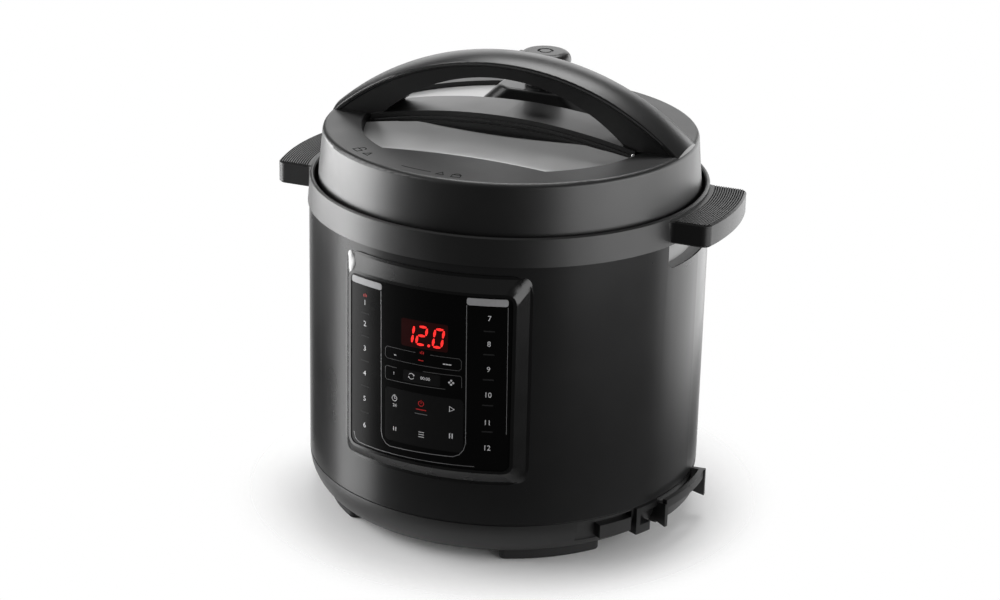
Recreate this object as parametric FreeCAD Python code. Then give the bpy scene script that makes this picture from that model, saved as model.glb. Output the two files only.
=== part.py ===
import FreeCAD, Part
import math
import os

V = FreeCAD.Vector

# All sizes are in millimetres. The origin is on the table under the pot's axis, +Z is up,
# the control panel faces -Y and the side handles point along X.
# Angles round the axis are measured from the front towards +X, in degrees.

# Outer body
shell_r = 140.0
shell_t = 1.0
shell_h = 185.6
base_h = 24.0
base_taper = 10.6
base_wall = 2.5
base_floor_t = 3.5
base_seam_h = 0.9
base_seam_w = 0.8
lip_h = 5.0
lip_t = 2.2
foot_h = 9.0
foot_inset = 3.4
foot_w = 14.0
foot_count = 4
foot_angle = 38.0
foot_half_span = 16.8
foot_edge = 2.0
fit_gap = 0.3

# Top collar with its two side handles
collar_step = 1.0
collar_h = 19.7
collar_wall = 4.6
collar_draft = 1.6
collar_edge = 1.0
gutter_floor_t = 2.4
gutter_rise = 1.0
gutter_gap = 1.8
gutter_drop = 7.0
handle_len = 24.0
handle_half_w = 43.0
handle_t = 16.0
handle_under = 1.4
handle_corner = 6.0
handle_root = 4.0
handle_edge = 1.2
groove_count = 13
groove_start = 1.8
groove_pitch = 1.65
groove_w = 1.0
groove_depth = 1.0
pocket_half_w = 43.3
pocket_h = 17.6
pocket_corner = 6.0
pocket_wall = 1.5
pocket_depth = 9.0

# Cooking pot, its housing and the bayonet lugs
pot_space = 30.0
pot_t = 1.5
pot_floor_t = 2.0
pot_corner = 12.0
pot_rim_w = 7.0
pot_air = 2.5
housing_t = 1.2
housing_ledge = 6.0
neck_rise = 9.4
shoulder_w = 5.8
shoulder_t = 2.0
lug_count = 6
lug_half_span = 13.0
lug_t = 3.2
lug_drop = 3.0
lug_reach = 6.8
lug_play = 0.5

# Heating plate and the sprung heat sensor under the pot
heater_bay = 51.0
plate_inset = 10.0
plate_t = 8.8
plate_hole_r = 14.0
element_r = 70.0
element_wire_r = 4.0
element_gap = 20.0
element_lead = 18.0
sensor_r = 13.0
sensor_h = 9.8
sensor_wall = 1.5
sensor_gap = 0.2
stem_r = 3.0
stem_gap = 0.05
spring_len = 12.0
spring_r = 5.0
spring_wire_r = 0.5
spring_turns = 5
spring_gap = 0.1
bracket_t = 2.0
bracket_half_w = 8.0
bracket_half_len = 30.0
stem_below = 8.0
cutout_r = 8.0
cutout_h = 8.0
cutout_x = 42.0

# Control panel
bezel_half_w = 67.7
bezel_low = 30.2
bezel_high = 179.6
bezel_corner = 13.0
bezel_proud = 7.0
bezel_lip = 0.9
bezel_crest = 2.2
bezel_side_rail = 9.3
bezel_end_rail = 12.8
bezel_neck_depth = 5.0
bezel_lap = 4.0
overlay_sink = 0.5
overlay_t = 1.5
overlay_corner = 5.0
carrier_t = 3.0
display_half_w = 16.0
display_h = 19.0
display_up = 134.0
display_air = 0.4
board_t = 1.6
board_back = 4.4
board_half_w = 52.0
board_margin = 12.0
boss_r = 4.0
boss_x = 42.0
boss_inset = 14.0
board_screw_r = 1.4
board_screw_head_r = 3.0
board_screw_head_t = 1.8
board_screw_len = 9.0

# Power electronics and supports in the base
post_r = 5.0
post_out = 4.0
post_count = 3
post_first_angle = 30.0
base_screw_r = 2.0
base_screw_head_r = 4.5
base_screw_head_t = 2.0
base_screw_len = 15.0
screw_gap = 0.1
power_half_w = 40.0
power_front = 30.0
power_len = 50.0
power_stand = 6.0
power_post_r = 3.0
power_post_inset = 5.0
transformer_size = (30.0, 26.0, 20.0)
relay_size = (20.0, 16.0, 16.0)
capacitor_r = 6.0
capacitor_h = 18.0
vent_rows = 3
vent_first_r = 40.0
vent_pitch = 12.0
vent_w = 4.0
vent_spokes = 6
vent_half_span = 23.0

# Cord gland at the back and cleat at the right
gland_z = 21.0
gland_r = 6.0
gland_flange_r = 8.5
gland_flange_t = 2.5
gland_bore_r = 4.0
gland_len = 20.0
recess_from = 43.5
recess_to = 61.5
recess_depth = 6.0
recess_rise = 6.5
recess_rim = 2.0
block_from = 50.3
block_to = 61.0
block_rise = 7.6
block_h = 10.0
block_proud = 1.0
cleat_fin_angle = 71.5
cleat_to = 95.0
cleat_slot_w = 6.0
cleat_horn_w = 3.5
cleat_tip_w = 1.0
cleat_horn_h = 6.0
cleat_low = 14.0
cleat_rise = 1.0
cleat_rib_t = 3.0
cleat_rib_slope = 6.0
cleat_back_drop = 6.0
cleat_back_t = 0.4
cleat_web_from = 62.5
cleat_web_to = 68.0
cleat_web_low = 3.5
cleat_web_h = 6.5
cleat_stem_to = 64.0
cleat_web_w = 2.5
cleat_strip_t = 4.0

# Condensate cup at the back
cup_half_w = 30.5
cup_h = 56.0
cup_drop = 13.6
cup_proud = 7.0
cup_depth = 19.5
cup_wall = 1.5
cup_edge = 1.2
bay_gap = 0.5
bay_wall = 1.5
drain_r = 2.5
drain_inset = 2.9

# Lid cover
lid_low_drop = 12.3
lid_rise = 33.7
lid_gap = 1.7
lid_taper = 4.3
lid_wall = 2.5
lid_edge = 3.0
lid_roof_drop = 15.0
lid_ring_roof = 2.5
crown_half_w = 20.0
crown_rise = 3.7
crown_arc_r = 542.6
lid_ring_w = 26.4
scoop_arc_r = 67.5
scoop_mid = 52.5
scoop_end_rise = 10.0
rear_ring_w = 17.4
rear_depth = 3.5
inlay_t = 0.8
inlay_gap = 0.3

# Lid handle
arch_rise = 52.0
arch_arc_r = 195.0
arch_gap_rise = 38.0
arch_gap_arc_r = 130.0
arch_half_w = 18.5
arch_crown = 3.2
arch_edge = 1.0
arch_cap_t = 3.6
arch_cap_lap = 0.8
arch_inset = 0.8
bridge_t = 8.9
bridge_arc_r = 406.0
bridge_end = 6.0
bridge_groove_w = 1.0
bridge_groove_depth = 0.6
bridge_grooves = 2
handle_screw_out = 8.0
handle_screw_y = 9.0
handle_screw_r = 2.0
handle_screw_head_r = 4.0
handle_screw_head_t = 2.6
handle_screw_len = 9.0

# Lid pan, gasket and rack
pan_clear = 3.0
pan_t = 1.2
pan_gap = 14.5
pan_skirt_drop = 26.0
pan_lug_w = 6.5
seal_play = 1.0
seal_w = 10.5
seal_lip = 3.2
seal_web = 4.5
rack_t = 1.2
rack_h = 11.0
lid_screw_x = 60.0
lid_screw_y = 60.0
lid_boss_r = 5.0
lid_screw_r = 2.0
lid_screw_head_r = 4.0
lid_screw_head_t = 2.5
lid_screw_len = 9.0

# Steam release valve
valve_y = 62.0
pipe_r = 4.0
pipe_bore_r = 1.5
pipe_below = 6.0
pipe_flange_r = 8.0
pipe_flange_t = 1.5
pipe_above_deck = 17.0
nut_r = 9.2
nut_h = 5.8
shield_r = 16.0
shield_h = 12.0
shield_t = 1.0
shield_slots = 8
shield_slot_w = 3.0
deck_low_half_w = 44.0
deck_low_half_d = 26.0
deck_top_half_w = 30.0
deck_top_half_d = 21.0
deck_h = 14.0
deck_corner = 14.0
deck_edge = 3.0
knob_r = 18.5
knob_waist_r = 14.0
knob_h = 23.5
knob_lift = 1.0
knob_rim_t = 7.0
knob_round = 6.0
knob_bore_gap = 0.08
knob_ring_r = 5.8
knob_ring_w = 1.8
knob_ring_depth = 0.8
knob_tab_reach = 20.5
knob_tab_half_w = 4.0
knob_tab_t = 4.0

# Float valve
float_x = 70.0
float_y = 42.0
float_r = 3.5
float_gap = 0.08
float_travel = 5.5
float_seat_gap = 0.3
float_cap_r = 6.0
float_cap_h = 4.0
float_flange_r = 5.5
float_flange_t = 1.5
float_below_top = 2.5
bush_r = 6.0
bush_h = 12.0
bush_gap = 0.3

# Heights and radii that follow from the sizes above
base_z0 = foot_h
base_z1 = base_z0 + base_h
shell_z1 = base_z1 + shell_h
collar_z1 = shell_z1 + collar_h
collar_r = shell_r + collar_step
collar_in_r = collar_r - collar_wall
collar_top_r = collar_r - collar_draft
handle_reach = collar_r + handle_len
groove_first_r = collar_r + groove_start
shell_in_r = shell_r - shell_t
base_foot_r = shell_r - base_taper
foot_r = base_foot_r - foot_inset
pot_r = shell_r - pot_space
pot_rim_r = pot_r + pot_rim_w
gutter_z0 = shell_z1 + gutter_rise
gutter_z1 = gutter_z0 + gutter_floor_t
trough_z0 = gutter_z1 - gutter_floor_t - gutter_drop
trough_z1 = trough_z0 + gutter_floor_t
plate_z1 = base_z0 + heater_bay
plate_z0 = plate_z1 - plate_t
housing_in_r = pot_r + pot_t + pot_air
housing_r = housing_in_r + housing_t
shoulder_r = housing_r + shoulder_w
lug_r = housing_r + lug_reach
pan_r = lug_r + pan_clear
pan_lug_in_r = pan_r - pan_lug_w
seal_r = pan_lug_in_r - seal_play
gutter_step_r = pan_r + gutter_gap
drain_circle_r = gutter_step_r - drain_inset
plate_r = pot_r - plate_inset
housing_floor_r = plate_r - housing_ledge
post_circle_r = plate_r + post_out
cup_back = shell_r - cup_depth
cup_z1 = shell_z1 - cup_drop
cup_z0 = cup_z1 - cup_h
rim_z = shell_z1 + neck_rise
pot_rim_z = rim_z + pot_t
lug_z1 = rim_z - lug_drop
lug_z0 = lug_z1 - lug_t
pan_z0 = pot_rim_z + pan_gap
pan_z1 = pan_z0 + pan_t
pan_lug_z1 = lug_z0 - lug_play
pan_low = pan_z0 - pan_skirt_drop
lid_low_r = collar_in_r - lid_gap
lid_top_r = lid_low_r - lid_taper
scoop_r = lid_top_r - lid_ring_w
rear_scoop_r = lid_top_r - rear_ring_w
lid_ring_inner_r = scoop_r + lid_wall
arch_end_r = lid_top_r - arch_inset
bridge_half_len = scoop_r - bridge_end
handle_screw_x = scoop_r + handle_screw_out
recess_r = shell_r - recess_depth
recess_z0 = base_z0 + recess_rise
recess_z1 = base_z1 - recess_rim
block_z0 = base_z0 + block_rise
cleat_top = base_z1 + cleat_rise
cleat_slot_r = shell_r + cleat_slot_w
cleat_shelf_r = cleat_slot_r + cleat_horn_w
cleat_tip_r = cleat_shelf_r + cleat_tip_w
lid_z0 = collar_z1 - lid_low_drop
lid_z1 = collar_z1 + lid_rise
lid_slope = lid_taper / (lid_z1 - lid_z0)
lid_roof = lid_z1 - lid_roof_drop
rear_floor_z = lid_z1 - rear_depth
crown_z = lid_z1 + crown_rise
crown_axis_z = crown_z - crown_arc_r
deck_z0 = lid_z1
deck_z1 = deck_z0 + deck_h
floor_z = base_z0 + base_floor_t
bezel_z0 = base_z1 + bezel_low
bezel_z1 = base_z1 + bezel_high
bezel_r = shell_r + bezel_proud
overlay_r = bezel_r - overlay_sink
carrier_r = overlay_r - overlay_t
board_y = -(housing_r + board_back)


def spot(radius, angle, z=0.0):
    """A point at a radius and an angle from the front."""
    a = math.radians(angle)
    return V(radius * math.sin(a), -radius * math.cos(a), z)


def in_xz(a, b):
    return V(a, 0, b)


def in_yz(a, b):
    return V(0, a, b)


def in_xy(a, b):
    return V(a, b, 0)


def loop(steps, place):
    """A closed wire. A pair is a corner reached by a line, a pair of pairs an arc's middle and end."""
    edges = []
    first = place(*steps[0])
    here = first
    for step in steps[1:]:
        if isinstance(step[0], tuple):
            end = place(*step[1])
            edges.append(Part.Arc(here, place(*step[0]), end).toShape())
        else:
            end = place(*step)
            edges.append(Part.makeLine(here, end))
        here = end
    if here.distanceToPoint(first) > 1e-6:
        edges.append(Part.makeLine(here, first))
    return Part.Wire(edges)


def turned(steps, half_span=180.0, angle=0.0):
    """Revolve a (radius, height) outline about Z, centred on an angle from the front."""
    solid = Part.Face(loop(steps, in_xz)).revolve(V(), V(0, 0, 1), 2 * half_span)
    solid.rotate(V(), V(0, 0, 1), angle - 90.0 - half_span)
    return solid


def block_of(r0, r1, z0, z1):
    return [(r0, z0), (r1, z0), (r1, z1), (r0, z1)]


def tube(r0, r1, z0, z1, x=0.0, y=0.0):
    """An upright tube, or a plain rod where r0 is nothing."""
    rod = Part.makeCylinder(r1, z1 - z0, V(x, y, z0))
    if r0 > 0:
        rod = rod.cut(Part.makeCylinder(r0, z1 - z0, V(x, y, z0)))
    return rod


def sector(r0, r1, z0, z1, angle, half_span):
    return turned(block_of(r0, r1, z0, z1), half_span, angle)


def box(x0, x1, y0, y1, z0, z1):
    return Part.makeBox(x1 - x0, y1 - y0, z1 - z0, V(x0, y0, z0))


def rounded(half_w, b0, b1, corner, place):
    """A closed wire round a rectangle with rounded corners."""
    k = corner * (1 - math.sqrt(0.5))
    w = half_w
    return loop([
        (-w + corner, b0), (w - corner, b0), ((w - k, b0 + k), (w, b0 + corner)),
        (w, b1 - corner), ((w - k, b1 - k), (w - corner, b1)),
        (-w + corner, b1), ((-w + k, b1 - k), (-w, b1 - corner)),
        (-w, b0 + corner), ((-w + k, b0 + k), (-w + corner, b0)),
    ], place)


def front_prism(half_w, z0, z1, corner, y0, y1):
    """A rounded window shape that runs straight through the front, along Y."""
    wire = rounded(half_w, z0, z1, corner, in_xz)
    wire.translate(V(0, y0, 0))
    return Part.Face(wire).extrude(V(0, y1 - y0, 0))


def side_prism(half_w, z0, z1, corner, x0, x1):
    """The same, along X through one side."""
    wire = rounded(half_w, z0, z1, corner, in_yz)
    wire.translate(V(x0, 0, 0))
    return Part.Face(wire).extrude(V(x1 - x0, 0, 0))


def join(shapes):
    whole = shapes[0]
    for shape in shapes[1:]:
        whole = whole.fuse(shape)
    return whole.removeSplitter()


def without(shape, tools):
    for tool in tools:
        shape = shape.cut(tool)
    return shape


def on_both_sides(shape):
    """A shape on the right and its copy turned half round on the left."""
    other = shape.copy()
    other.rotate(V(), V(0, 0, 1), 180)
    return [shape, other]


def edges_where(shape, test):
    return [e for e in shape.Edges if test(e)]


def is_upright(edge):
    low, high = edge.BoundBox.ZMin, edge.BoundBox.ZMax
    flat = max(edge.BoundBox.XLength, edge.BoundBox.YLength)
    return high - low > 1.0 and flat < 0.01


def at_height(edge, z):
    return abs(edge.BoundBox.ZMin - z) < 0.01 and abs(edge.BoundBox.ZMax - z) < 0.01


def on_radius(edge, radius):
    """Do an edge's ends and middle lie at a radius from the axis?"""
    a, b = edge.ParameterRange
    points = [edge.valueAt(a + (b - a) * t) for t in (0.0, 0.3, 0.5, 0.8, 1.0)]
    return all(abs(math.hypot(p.x, p.y) - radius) < 0.01 for p in points)


# Body shell, base and feet
def panel_hole(grow):
    """The shell's opening behind the bezel, made larger by grow."""
    half_w = bezel_half_w - bezel_lap + grow
    z0 = bezel_z0 + bezel_lap - grow
    z1 = bezel_z1 - bezel_lap + grow
    return front_prism(half_w, z0, z1, overlay_corner + grow, -2 * shell_r, 0)


def pocket_hole(grow, reach):
    z0 = shell_z1 - pocket_h - grow
    z1 = shell_z1 + pocket_h
    return side_prism(pocket_half_w + grow, z0, z1, pocket_corner, 0, reach)


def cup_space(grow):
    w = cup_half_w + grow
    return box(-w, w, cup_back - grow, 2 * shell_r, cup_z0 - grow, cup_z1 + grow)


def outer_shell():
    wall = tube(shell_in_r, shell_r, base_z1, shell_z1)
    tools = on_both_sides(pocket_hole(0, 2 * shell_r))
    return without(wall, tools + [panel_hole(fit_gap), cup_space(bay_gap)])


def base_outline():
    """The base's outside, closed over the axis."""
    mid_r = base_foot_r + 0.72 * (shell_r - base_foot_r)
    mid = (mid_r, base_z0 + 0.42 * base_h)
    outline = turned([(0, base_z0), (base_foot_r, base_z0), (mid, (shell_r, base_z1)), (0, base_z1)])
    return outline.cut(tube(shell_r - base_seam_w, 2 * shell_r, base_z1 - base_seam_h, base_z1))


def gland_line(radius, y0, y1):
    """A rod along the gland's axis, which runs straight out at the back."""
    return along_y(radius, y0, y1, 0, gland_z)


def between(r0, r1, z0, z1, angle0, angle1):
    """A sector that runs from one angle to another."""
    return sector(r0, r1, z0, z1, 0.5 * (angle0 + angle1), 0.5 * (angle1 - angle0))


def recess_wall():
    """The moulding behind the recess beside the cord cleat."""
    margin = math.degrees(base_wall / recess_r)
    wall = between(recess_r - base_wall, shell_r, recess_z0 - base_wall, base_z1,
                   recess_from - margin, recess_to + margin)
    return wall.common(base_outline())


def base_moulding():
    inner_r = base_foot_r - base_wall
    rim_r = shell_r - base_wall
    mid = (inner_r + 0.72 * (rim_r - inner_r), floor_z + 0.42 * (base_z1 - floor_z))
    hollow = turned([(0, floor_z), (inner_r, floor_z), (mid, (rim_r, base_z1)), (0, base_z1)])
    lip_r = shell_in_r - fit_gap
    lip = tube(lip_r - lip_t, lip_r, base_z1 - lip_h, base_z1 + lip_h)
    body = join([base_outline().cut(hollow), lip])
    bosses = [tube(0, power_post_r, floor_z, floor_z + power_stand, x, y) for x, y in power_corners()]
    body = join([body, recess_wall()] + bosses).cut(between(recess_r, 2 * shell_r, recess_z0, recess_z1,
                                                            recess_from, recess_to))
    block = between(recess_r - base_wall, shell_r + block_proud, block_z0, block_z0 + block_h,
                    block_from, block_to)
    body = join([body, block])
    vents = []
    for row in range(vent_rows):
        r = vent_first_r + row * vent_pitch
        for spoke in range(vent_spokes):
            angle = (spoke + 0.5) * 360 / vent_spokes
            vents.append(sector(r, r + vent_w, 0, floor_z, angle, vent_half_span))
    holes = [gland_line(gland_r + fit_gap, base_foot_r - 2 * gland_len, 2 * shell_r)]
    for p in post_spots():
        holes.append(tube(0, base_screw_head_r + screw_gap, 0, base_z0 + base_screw_head_t, p.x, p.y))
        holes.append(tube(0, base_screw_r + screw_gap, 0, floor_z, p.x, p.y))
    return without(body, [Part.makeCompound(vents)] + holes)


def rubber_feet():
    feet = []
    for i in range(foot_count):
        angle = foot_angle + i * 360 / foot_count
        pad = sector(foot_r - foot_w, foot_r, 0, base_z0, angle, foot_half_span)
        pad = pad.makeFillet(2 * foot_edge, edges_where(pad, is_upright))
        feet.append(pad.makeFillet(foot_edge, edges_where(pad, lambda e: at_height(e, 0))))
    return Part.makeCompound(feet)


# Top collar and pockets
def top_collar():
    edge = collar_edge
    step_out = gutter_step_r + gutter_floor_t
    ring = turned([
        (housing_r + fit_gap, trough_z0), (step_out, trough_z0), (step_out, gutter_z0),
        (collar_in_r, gutter_z0), (collar_in_r, shell_z1), (collar_r, shell_z1),
        (collar_top_r, collar_z1 - edge), (collar_top_r - edge, collar_z1), (collar_in_r + edge, collar_z1),
        (collar_in_r, collar_z1 - edge), (collar_in_r, gutter_z1), (gutter_step_r, gutter_z1),
        (gutter_step_r, trough_z1), (housing_r + fit_gap, trough_z1),
    ])
    z0 = shell_z1 + handle_under
    z1 = z0 + handle_t
    wings = tube(0, handle_reach, z0, z1)
    wings = wings.common(box(-handle_reach, handle_reach, -handle_half_w, handle_half_w, z0, z1))
    plan = wings.fuse(tube(0, collar_top_r, z0, z1)).removeSplitter()
    far = edges_where(plan, lambda e: is_upright(e) and on_radius(e, handle_reach))
    plan = plan.makeFillet(handle_corner, far)
    near = edges_where(plan, lambda e: is_upright(e) and on_radius(e, collar_top_r))
    plan = plan.makeFillet(handle_root, near)
    rims = edges_where(plan, lambda e: e.BoundBox.ZLength < 0.01 and e.Length > handle_corner)
    rims = [e for e in rims if on_radius(e, handle_reach)]
    plan = plan.makeChamfer(handle_edge, rims)
    plan = plan.cut(tube(0, 0.5 * (collar_top_r + collar_in_r), z0, z1))
    grooves = []
    for i in range(groove_count):
        r = groove_first_r + i * groove_pitch
        grooves.append(turned([(r, z1), (r + groove_w / 2, z1 - groove_depth), (r + groove_w, z1)]))
    plan = plan.cut(Part.makeCompound(grooves))
    body = join([ring, plan])
    drain = spot(drain_circle_r, 180)
    return body.cut(tube(0, drain_r, trough_z0, trough_z1, drain.x, drain.y))


def finger_pockets():
    back_r = shell_r - pocket_depth
    wall_r = back_r - pocket_wall
    top = box(-2 * shell_r, 2 * shell_r, -2 * shell_r, 2 * shell_r, 0, shell_z1)
    skin = tube(wall_r, shell_in_r, 0, shell_z1).common(pocket_hole(pocket_wall, 2 * shell_r)).common(top)
    space = tube(back_r, 2 * shell_r, 0, 2 * shell_z1).common(pocket_hole(0, 2 * shell_r))
    return Part.makeCompound(on_both_sides(skin.cut(space)))


# Cord fittings
def cord_gland():
    face = shell_r + gland_flange_t
    bush = gland_line(gland_r, face - gland_len, face)
    flange = gland_line(gland_flange_r, face - gland_len, face).cut(base_outline())
    return join([bush, flange]).cut(gland_line(gland_bore_r, 0, 2 * shell_r))


def fin(angle, r1, z0, z1):
    """A radial rib whose lower edge slopes down to its outer end."""
    wire = loop([(base_foot_r, z0 + cleat_rib_slope), (r1, z0), (r1, z1), (base_foot_r, z1)], in_xz)
    rib = Part.Face(wire).extrude(V(0, cleat_rib_t, 0))
    rib.translate(V(0, -cleat_rib_t / 2, 0))
    rib.rotate(V(), V(0, 0, 1), angle - 90)
    return rib


def cord_cleat():
    horn_z = cleat_top - cleat_horn_h
    back = between(base_foot_r, shell_r + cleat_back_t, cleat_low, base_z1 - cleat_back_drop,
                   cleat_fin_angle, cleat_to)
    horn = between(cleat_slot_r, cleat_shelf_r, horn_z, cleat_top, cleat_fin_angle, cleat_to)
    rib = fin(cleat_fin_angle, cleat_shelf_r, cleat_low, horn_z + cleat_horn_h / 2)
    end = fin(cleat_to, cleat_tip_r, cleat_low, cleat_top)
    web_r = shell_r + cleat_web_w
    strip_z = base_z1 - base_seam_h
    web_z = base_z0 + cleat_web_low
    web = between(base_foot_r, web_r, web_z, web_z + cleat_web_h, cleat_web_from, cleat_web_to)
    strip = between(base_foot_r, web_r, strip_z - cleat_strip_t, strip_z, cleat_web_from, cleat_fin_angle)
    stem = between(base_foot_r, web_r, web_z, strip_z, cleat_web_from, cleat_stem_to)
    body = join([back, horn, rib, end, join([stem, web, strip])])
    return body.cut(base_outline()).cut(tube(0, shell_r + fit_gap, base_z1, 2 * base_z1))


# Cooking pot and its housing
def lugs(r0, r1, z0, z1, turn):
    return [sector(r0, r1, z0, z1, turn + i * 360 / lug_count, lug_half_span) for i in range(lug_count)]


def outer_pot():
    z0 = plate_z0 - housing_t
    shoulder_z0 = trough_z0 - shoulder_t
    wall = turned([
        (housing_floor_r, z0), (housing_r, z0), (housing_r, shoulder_z0), (shoulder_r, shoulder_z0),
        (shoulder_r, trough_z0), (housing_r, trough_z0), (housing_r, rim_z), (housing_in_r, rim_z),
        (housing_in_r, plate_z0), (housing_floor_r, plate_z0),
    ])
    return join([wall] + lugs(housing_r - housing_t / 2, lug_r, lug_z0, lug_z1, 0))


def inner_pot():
    out_r = pot_r + pot_t
    k = 1 - math.sqrt(0.5)
    c = pot_corner
    d = pot_corner - pot_t
    floor = plate_z1 + pot_floor_t
    return turned([
        (0, plate_z1), (out_r - c, plate_z1), ((out_r - c * k, plate_z1 + c * k), (out_r, plate_z1 + c)),
        (out_r, rim_z), (pot_rim_r, rim_z), (pot_rim_r, pot_rim_z), (pot_r, pot_rim_z),
        (pot_r, floor + d), ((pot_r - d * k, floor + d * k), (pot_r - d, floor)), (0, floor),
    ])


# Heating plate, sensor and cut-out
def heating_plate():
    return tube(plate_hole_r, plate_r, plate_z0, plate_z1)


def heating_element():
    z = plate_z0 - element_wire_r
    ring = Part.makeTorus(element_r, element_wire_r, V(0, 0, z), V(0, 0, 1), 0, 360, 360 - 2 * element_gap)
    ring.rotate(V(), V(0, 0, 1), element_gap)
    leads = []
    for sign in (1, -1):
        a = math.radians(sign * element_gap)
        end = V(element_r * math.cos(a), element_r * math.sin(a), z)
        leads.append(Part.makeCylinder(element_wire_r, element_lead, end, V(0, 0, -1)))
        leads.append(Part.makeSphere(element_wire_r, end))
    return join([ring] + leads)


def sensor_z():
    """The plunger's top and bottom, then the bracket's top."""
    top = plate_z1 - sensor_gap
    low = top - sensor_h
    return top, low, low - spring_len


def sensor_plunger():
    top, low, seat = sensor_z()
    cup = tube(0, sensor_r, low, top)
    cup = cup.cut(tube(spring_r + 2 * spring_wire_r, sensor_r - sensor_wall, low, top - sensor_wall))
    stem = tube(0, stem_r, seat - bracket_t - stem_below, low)
    return join([cup, stem])


def sensor_bracket():
    seat = sensor_z()[2]
    low = seat - bracket_t
    w = bracket_half_w
    span = bracket_half_len
    strap = box(-w, w, -span, span, low, seat)
    legs = [box(-w, w, s * span - bracket_t / 2, s * span + bracket_t / 2, low, plate_z0) for s in (1, -1)]
    return join([strap] + legs).cut(tube(0, stem_r + stem_gap, low, seat))


def sensor_spring():
    low, seat = sensor_z()[1:]
    length = low - seat - 2 * (spring_wire_r + spring_gap)
    helix = Part.makeHelix(length / spring_turns, length, spring_r)
    start = V(spring_r, 0, 0)
    section = Part.Wire(Part.makeCircle(spring_wire_r, start, V(0, 1, 0)))
    coil = Part.Wire(helix.Edges).makePipeShell([section], True, True)
    coil.translate(V(0, 0, seat + spring_wire_r + spring_gap))
    return coil


def thermal_cutout():
    return tube(0, cutout_r, plate_z0 - cutout_h, plate_z0, -cutout_x, 0)


# Control panel
def bezel_window(grow):
    """The bezel's inner opening, which holds the overlay, made larger by grow."""
    half_w = bezel_half_w - bezel_side_rail + grow
    z0 = bezel_z0 + bezel_end_rail - grow
    z1 = bezel_z1 - bezel_end_rail + grow
    return front_prism(half_w, z0, z1, overlay_corner + grow, -2 * shell_r, 0)


def bezel_ramp():
    """A raised block whose four sides slope from the shell up to the crest."""
    foot_x = bezel_half_w - bezel_lip
    crest_x = bezel_half_w - bezel_side_rail + bezel_crest
    slope = bezel_end_rail - bezel_lip - bezel_crest
    z0 = bezel_z0 + bezel_lip
    z1 = bezel_z1 - bezel_lip
    ring = turned([(shell_r, z0), (bezel_r, z0 + slope), (bezel_r, z1 - slope), (shell_r, z1)])
    foot_y = -math.sqrt(shell_r ** 2 - foot_x ** 2)
    crest_y = -math.sqrt(bezel_r ** 2 - crest_x ** 2)
    far_y = -2 * shell_r
    plan = loop([(-foot_x, foot_y), (-crest_x, crest_y), (-crest_x, far_y), (crest_x, far_y),
                 (crest_x, crest_y), (foot_x, foot_y)], in_xy)
    wedge = Part.Face(plan).extrude(V(0, 0, 2 * shell_z1))
    ramp = ring.common(wedge)
    mitres = edges_where(ramp, lambda e: e.BoundBox.XLength > 1 and e.BoundBox.ZLength > 1)
    return ramp.makeFillet(bezel_corner, mitres)


def panel_bezel():
    outline = front_prism(bezel_half_w, bezel_z0, bezel_z1, bezel_corner + bezel_lip, -2 * shell_r, 0)
    lip = tube(shell_r, shell_r + bezel_lip, bezel_z0, bezel_z1).common(outline)
    neck = tube(shell_r - bezel_neck_depth, shell_r, bezel_z0, bezel_z1).common(panel_hole(0))
    return join([bezel_ramp(), lip, neck]).cut(bezel_window(0))


def panel_slice(r0, r1):
    return tube(r0, r1, bezel_z0, bezel_z1).common(bezel_window(-fit_gap))


def display_box(grow, y0, y1):
    z = base_z1 + display_up
    h = display_h / 2 + grow
    w = display_half_w + grow
    return box(-w, w, y0, y1, z - h, z + h)


def board_spots():
    rows = (bezel_z0 + bezel_end_rail + boss_inset, bezel_z1 - bezel_end_rail - boss_inset)
    return [(x, z) for x in (-boss_x, boss_x) for z in rows]


def along_y(radius, y0, y1, x, z):
    return Part.makeCylinder(radius, y1 - y0, V(x, y0, z), V(0, 1, 0))


def panel_overlay():
    return panel_slice(overlay_r - overlay_t, overlay_r)


def panel_carrier():
    plate = panel_slice(carrier_r - carrier_t, carrier_r)
    back_y = -math.sqrt((carrier_r - carrier_t / 2) ** 2 - boss_x ** 2)
    face = board_y - board_t
    bosses = [along_y(boss_r, back_y, face, x, z) for x, z in board_spots()]
    hole_r = board_screw_r + screw_gap
    holes = [along_y(hole_r, face - board_screw_len, face, x, z) for x, z in board_spots()]
    return without(join([plate] + bosses), holes + [display_box(fit_gap, -2 * shell_r, 0)])


def display_module():
    front = -math.sqrt((carrier_r - display_air) ** 2 - display_half_w ** 2)
    return display_box(0, front, board_y - board_t)


def control_board():
    plate = box(-board_half_w, board_half_w, board_y - board_t, board_y,
                bezel_z0 + board_margin, bezel_z1 - board_margin)
    holes = [along_y(board_screw_r + screw_gap, board_y - board_t, board_y, x, z) for x, z in board_spots()]
    return without(plate, holes)


def board_screws():
    screws = []
    for x, z in board_spots():
        head = along_y(board_screw_head_r, board_y, board_y + board_screw_head_t, x, z)
        screws.append(join([head, along_y(board_screw_r, board_y - board_screw_len, board_y, x, z)]))
    return Part.makeCompound(screws)


# Power electronics and supports
def power_corners():
    inset = power_post_inset
    xs = (-power_half_w + inset, power_half_w - inset)
    ys = (power_front + inset, power_front + power_len - inset)
    return [(x, y) for x in xs for y in ys]


def power_board():
    z = floor_z + power_stand
    return box(-power_half_w, power_half_w, power_front, power_front + power_len, z, z + board_t)


def power_components():
    z = floor_z + power_stand + board_t
    inset = 2 * power_post_inset
    x = -power_half_w + inset
    y = power_front + inset
    tx, ty, tz = transformer_size
    rx, ry, rz = relay_size
    transformer = box(x, x + tx, y, y + ty, z, z + tz)
    relay = box(-x - rx, -x, y, y + ry, z, z + rz)
    cap_y = y + ry + 2 * capacitor_r
    capacitor = tube(0, capacitor_r, z, z + capacitor_h, -x - capacitor_r, cap_y)
    return Part.makeCompound([transformer, relay, capacitor])


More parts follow.
